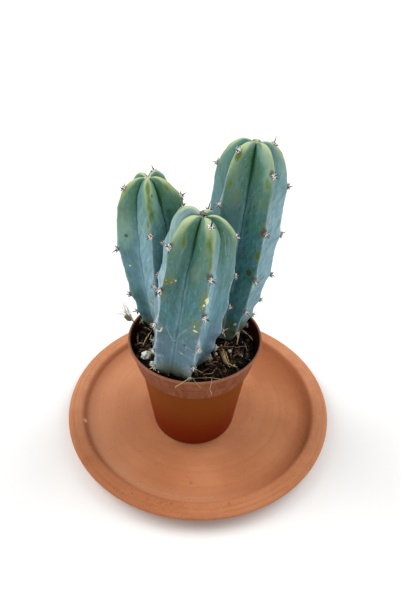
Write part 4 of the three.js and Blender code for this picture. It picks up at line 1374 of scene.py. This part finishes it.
# Strands that the photo shows on the soil: x, y and height above it, then thickness and tone.
soilStrands = [
    ([(20, 1.9, 0.6), (21.9, -0.2, 1), (23.9, -1.6, 1), (25.4, -3.2, 0.8), (26, -4.7, 0.5)], 0.34, 1),
    ([(20, 1.9, 0.6), (19.1, -3.2, 0.8), (18.4, -6.1, 0.6), (18, -8.3, 0.3)], 0.30, 0.8),
    ([(6.3, -12, 0.3), (10.6, -12.8, 0.5), (15, -11.6, 0.6), (19.3, -11.5, 0.5), (24.4, -9.2, 0.3)],
     0.22, 0.45),
    ([(8.3, -7.7, 0.3), (10.7, -8.9, 0.5), (14.1, -8.7, 0.3)], 0.18, 0.3),
    ([(4.2, -15.4, 0.5), (5.1, -18.9, 0.9), (5.8, -21.4, 0.4)], 0.24, 0.85),
    ([(5.9, -13.2, 0.5), (6.8, -17.2, 0.8), (7.5, -19.6, 0.3)], 0.18, 0.4),
    ([(2.6, -25.1, 0.4), (5.8, -23.1, 0.8), (9.1, -20.8, 0.4)], 0.26, 0.35),
    ([(6.3, -20.8, 0.3), (8.2, -20.1, 0.6), (10.1, -19.5, 0.3)], 0.22, 0.4),
    ([(-1.4, -27.9, 0.6), (0.4, -29, 1), (1.8, -29.2, 0.7)], 0.16, 0.8),
    ([(1.8, -30.2, 0.7), (4, -30.1, 0.9), (6.2, -30.4, 0.8), (6.9, -27.7, 0.5)], 0.18, 0.7),
    ([(-24, -3.3, 0.7), (-25.3, -7.2, 0.9), (-26.3, -11.1, 0.9), (-26.7, -14.3, 0.5)], 0.26, 0.95),
    ([(-30, -12.3, 0.4), (-28.9, -11.6, 0.7), (-27.1, -12.5, 0.4)], 0.3, 0.5),
    ([(-29, 1.6, 0.4), (-27.1, -0.5, 0.7), (-24.9, -2.4, 0.5)], 0.22, 0.8),
    ([(-30.6, -3.8, 0.4), (-30.2, -8.1, 0.7), (-29.6, -11.9, 0.4)], 0.4, 0.35),
    ([(-16.6, -29.3, 0.8), (-14.8, -29.9, 1), (-13.3, -32.2, 0.6)], 0.16, 1),
]

# Strands that lie over the rim and hang from it: x, y and height, then thickness and tone.
rimStrands = [
    ([(-2.2, -35.2, 58.4), (1.3, -36.2, 59.6), (4.7, -37, 60.9), (8.1, -37.7, 60.9), (10.7, -37.9, 60.9)],
     0.10, 0.85),
    ([(5.4, -36.6, 60.7), (5.5, -38.4, 60.9), (5.3, -40, 60), (4.7, -40.1, 57.4), (5.1, -40.1, 55.6),
      (5.8, -40.1, 54.2), (5.8, -40.3, 53.2)], 0.11, 0.9),
    ([(-3.4, -36.9, 59.8), (-4.6, -38.4, 61), (-6, -39.6, 60.9), (-8.2, -40.7, 59.9), (-9.9, -40.7, 58.6),
      (-10.1, -40.6, 57.8)], 0.15, 1),
    ([(-2.6, -37.2, 59.9), (-1.8, -39.4, 60.9), (0.2, -40.9, 59.4), (1.2, -40.9, 58)], 0.10, 0.7),
]

# The curled, torn strip that stands out at the right: x, y and height, and how its strands part.
curl = {
    "way": [(12.9, -13.4, 0.5), (11, -14.3, 1), (10.8, -16.4, 1.3), (11.6, -18.8, 1.3), (11.9, -21.2, 1),
            (13.2, -23.4, 1.3), (15, -24.6, 1.2), (16.9, -25.5, 0.7)],
    "points": 26, "count": 15, "seed": 5, "part": 0.55, "thickness": (0.2, 0.46),
}


strandPlan = {"onSoil": 22, "onRim": 26, "sides": 6, "lift": 0.5, "fuller": 1.2, "ends": 0.45}


def placeStrands(strands):
    k = strandPlan
    for points, thick, tone in soilStrands:
        path = smoothPath(points, k["onSoil"])
        path[:, 2] += soilSurface(path[:, 0], path[:, 1]) + k["lift"]
        strands.tube(path, thick * k["fuller"] * taper(k["onSoil"], k["ends"]), k["sides"], tone)
    for points, thick, tone in rimStrands:
        path = smoothPath(points, k["onRim"])
        strands.tube(path, thick * taper(k["onRim"], k["ends"]), k["sides"], tone)
    rng = np.random.default_rng(curl["seed"])
    for _ in range(curl["count"]):
        path = smoothPath(curl["way"], curl["points"])
        path[:, :2] += rng.normal(size=2) * curl["part"]
        path[:, :2] += np.cumsum(rng.normal(size=(len(path), 2)), 0) * 0.03
        path = path[int(rng.integers(0, 7)):int(rng.integers(17, 27))]
        path[:, 2] += soilSurface(path[:, 0], path[:, 1]) + rng.normal() * 0.15
        thick = rng.uniform(*curl["thickness"])
        strands.tube(path, thick * taper(len(path), 0.5), 5, rng.uniform(0.2, 0.85), 0.6)


def buildFibres():
    s, k = soilPlan, soilPlan["fibres"]
    rng = np.random.default_rng(s["seed"] + 1)
    fibres = Heap()
    for _ in range(k["count"]):
        line = lyingLine(k, rng, *scatterSpot(rng, k["reach"]))
        if line is None:
            continue
        arch = rng.uniform(0.1, 0.9) * taper(k["points"], 1, 2) * rng.uniform(0, 1)
        level = soilSurface(*line) + 0.35 + arch + rng.uniform(0, 0.5)
        radius = between(*k["radius"], rng.uniform() ** k["bias"]) * taper(k["points"], 0.5)
        fibres.tube(np.stack([*line, level], -1), radius, 5, rng.uniform(0, 1) ** 2.2, rng.uniform(0.6, 1))
    placeStrands(fibres)
    fibres.piece("peat_fibres", soilFinish("dryFibre", s["fibre"], s["straw"]), "peat_soil")


def buildGrains():
    s, k = soilPlan, soilPlan["grains"]
    rng = np.random.default_rng(s["seed"] + 2)
    grains = Heap()
    for _ in range(k["count"]):
        x, y = scatterSpot(rng, k["reach"])
        size = between(*k["size"], rng.uniform() ** k["bias"])
        shape = lumpPoints(2, size * rng.uniform(*k["squash"], 3), rng, 0.09)
        grains.lump(shape + [x, y, soilSurface(x, y) + 0.3 + size * 0.3], 2, rng.uniform(0.2, 1.0))
    for x, y, size in placedGrains:
        shape = lumpPoints(3, size, rng, 0.05)
        grains.lump(shape + [x, y, soilSurface(x, y) + 0.5 + size * 0.5], 3, 0.75 if x > 0 else 0.0)
    grains.piece("perlite_grains", perliteFinish(), "perlite")


perlitePlan = {
    "x": -24.6, "y": -20.2, "radius": 2.3, "sunk": 0.9, "flatness": [1, 1, 0.8],
    "uneven": [(0.10, 2.6, 15), (0.07, 1.1, 16), (0.03, 0.5, 17)],  # depth, length and seed of its bumps
    "white": "f1f2ea", "pore": "a9a294", "stain": "a58a5e", "shade": "8d7c5c",
}


def perliteFinish():
    f = Finish("whitePerlite")
    p = perlitePlan
    spot = f.spot()
    pore = f.cells(spot, 0.55)
    stain = f.noise(f.shifted(spot, (2, 5, 1)), 1.6, 2, 0.6)
    f.colour = f.mix(f.ease(pore, 0.1, 0.5, 0.0, 0.7), p["white"], p["pore"])
    f.lay(f.ease(stain, 0.6, 0.72, 0.8), p["stain"])
    f.lay(f.ease(f.mask("tone") + 0.5 * stain, 0.6, 1.2, 0.85), p["shade"])
    return f.close(f.ease(stain, 0.3, 0.7, 0.95, 0.85), relief=pore, depth=0.25)


def buildPerlite():
    p = perlitePlan
    form, tris = balls[4]
    push = 1 + sum(depth * ripple(form * 2.3, length, seed) for depth, length, seed in p["uneven"])
    level = soilLevel + soilRelief(p["x"], p["y"]) + p["sunk"]
    points = form * (p["radius"] * 0.97 * push)[:, None] * p["flatness"] + [p["x"], p["y"], level]
    # Painted shade: the lump takes the shade paint on its right side and underside.
    tone = blendStep(0.0, 0.9, form[:, 0] - 0.3 * form[:, 2])
    piece = makePiece("white_lump", points, [tris], perliteFinish(), {"tone": tone})
    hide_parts("perlite_lump")


barkPlan = {
    "bearing": 168, "length": 11, "width": 3.0, "thickness": 2.3, "slope": 31, "overhang": 4.9,
    "rimReach": 31.4, "rows": 44, "sides": 36,
    "tipCut": 0.15,  # how far short of its solid's tip the sliver ends
    "headFrom": 1.7,  # where its thick head starts, along it from the middle
    "neck": 0.17,
    "dark": "33241a", "light": "8c775b",
    "hairs": 44, "hairLength": (4.5, 14.0), "hairSeed": 77, "hairDark": "a29a86", "hairLight": "e4dfd2",
    "hairAlong": (0.0, 0.42), "hairAround": (0.4, 2.7), "hairRadii": (0.06, 0.03), "hairPoints": 10,
    "hairLean": [-0.55, 0, 1.1], "hairDrift": [-0.6, 0, 0], "hairBend": 0.25,
}


def barkFrame():
    b, p = barkPlan, potPlan
    bearing, slope = math.radians(b["bearing"]), math.radians(b["slope"])
    out = np.array([math.cos(bearing), math.sin(bearing), 0])
    axis = out * math.cos(slope) + [0, 0, math.sin(slope)]
    lift = (b["thickness"] / 2 + 0.45) / math.cos(slope)
    overRim = out * b["rimReach"] + [p["x"], p["y"], p["bottom"] + p["height"] + lift]
    side = np.array([-math.sin(bearing), math.cos(bearing), 0])
    return overRim + axis * (b["overhang"] - b["length"] / 2), axis, side, np.cross(axis, side)


def buildBark():
    b = barkPlan
    centre, axis, side, up = barkFrame()
    x = np.linspace(-0.5, 0.5, b["rows"]) * (b["length"] - b["tipCut"]) - b["tipCut"] / 2
    head = blendStep(b["headFrom"] - 0.5, b["headFrom"] + 0.2, x)
    endRound = np.sqrt(np.clip(1 - ((x - b["headFrom"]) / (x[-1] - b["headFrom"] + 0.05)) ** 6, 0, 1))
    girth = between(b["neck"], 1.0, head) * np.where(x > b["headFrom"], endRound, 1) * 0.97
    ring = polar(fullTurn(b["sides"]), 1, 0)[None] * girth[:, None, None] / 2
    local = ring * [b["width"], b["thickness"], 0]
    local = np.stack([x[:, None] + 0 * local[..., 0], local[..., 0], local[..., 1]], -1)
    furrow = 0.12 * ripple(local * [0.25, 1, 1], 0.8, 4) + 0.10 * ripple(local, 1.6, 8)
    local[..., 1:] *= 0.94 + furrow[..., None] * 0.5
    flat = np.concatenate([local.reshape(-1, 3), [[x[0], 0, 0], [x[-1], 0, 0]]])
    points = centre + flat @ np.stack([axis, side, up])
    tone = np.concatenate([np.repeat(between(0.0, 0.8, head), b["sides"]), [0.0, 0.8]])
    look = soilFinish("weatheredBark", b["dark"], b["light"], 0.9)
    piece = makePiece("bark_sliver", points, closedFaces(b["rows"], b["sides"]), look, {"tone": tone})
    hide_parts("bark_chip")


# Fine pale root hairs that cling to the sliver and stand away from it.
def buildBarkHairs():
    b = barkPlan
    centre, axis, side, up = barkFrame()
    rng = np.random.default_rng(b["hairSeed"])
    hairs = Heap()
    t = np.linspace(0, 1, b["hairPoints"])[:, None]
    for _ in range(b["hairs"]):
        along, around = rng.uniform(*b["hairAlong"]) * b["length"], rng.uniform(*b["hairAround"])
        out = math.cos(around) * side + math.sin(around) * up
        root = centre + along * axis + out * b["thickness"] * 0.4 * blendStep(0.5, 2.2, along)
        heading = unit(0.3 * out + 0.3 * rng.normal(size=3) + b["hairLean"])
        length = between(*b["hairLength"], rng.uniform() ** 1.5)
        bend = b["hairBend"] * length * unit(rng.normal(size=3) + b["hairDrift"])
        path = root + heading * length * t + bend * t ** 2
        hairs.tube(path, np.linspace(*b["hairRadii"], len(t)), 4, rng.uniform(0.2, 1.0))
    hairs.piece("root_hairs", soilFinish("paleHair", b["hairDark"], b["hairLight"]), "bark")


buildBed()
buildCrumbs()
buildFibres()
buildGrains()
buildPerlite()
buildBark()
buildBarkHairs()
print("soil built")


# A plain pale floor, soft light all round with a window on the right, and the camera.
studio = {
    "floorHalf": 40.0,
    "floorDrop": 0.0002,
    "floor": "f4f3f1",
    "white": "ffffff",
    "sky": 0.6,
    "window": {"turn": (46, 0, 114), "strength": 1.5, "angle": 45},
    "fill": {"turn": (50, 0, -107), "strength": 1.9, "angle": 45},
    "cameraPlace": (0.0, -0.17284, 0.20186),
    "cameraTurn": (53.5772, -1.2068, 0.9799),
    "lens": 27.015,
    "sensor": 36,
    "clip": (0.01, 50),
}


def buildStudio():
    mesh = bpy.data.meshes.new("studioFloor")
    h = studio["floorHalf"]
    mesh.from_pydata([(-h, -h, 0), (h, -h, 0), (h, h, 0), (-h, h, 0)], [], [(0, 1, 2, 3)])
    floor = placed("studio_floor", mesh)
    floor.location.z = -studio["floorDrop"]
    f = Finish("paleFloor")
    f.colour = f.mix(f.noise(f.spot(), 40, 2, 0.5) * 0.1, studio["floor"], studio["white"])
    mesh.materials.append(f.close(0.9, gloss=0.1))
    world = bpy.data.worlds.new("softSky")
    world.use_nodes = True
    sky = world.node_tree.nodes["Background"]
    sky.inputs["Color"].default_value = (1, 1, 1, 1)
    sky.inputs["Strength"].default_value = studio["sky"]
    bpy.context.scene.world = world
    for key in ("window", "fill"):
        plan = studio[key]
        lamp = bpy.data.lights.new(key, "SUN")
        lamp.energy = plan["strength"]
        lamp.angle = math.radians(plan["angle"])
        placed(key, lamp).rotation_euler = [math.radians(v) for v in plan["turn"]]
    lens = bpy.data.cameras.new("camera")
    lens.lens = studio["lens"]
    lens.sensor_width = studio["sensor"]
    lens.sensor_fit = "AUTO"
    lens.clip_start, lens.clip_end = studio["clip"]
    camera = placed("camera", lens)
    camera.location = studio["cameraPlace"]
    camera.rotation_euler = [math.radians(v) for v in studio["cameraTurn"]]
    bpy.context.scene.camera = camera
    bpy.context.scene.view_settings.view_transform = "Standard"


buildStudio()
print("studio set")
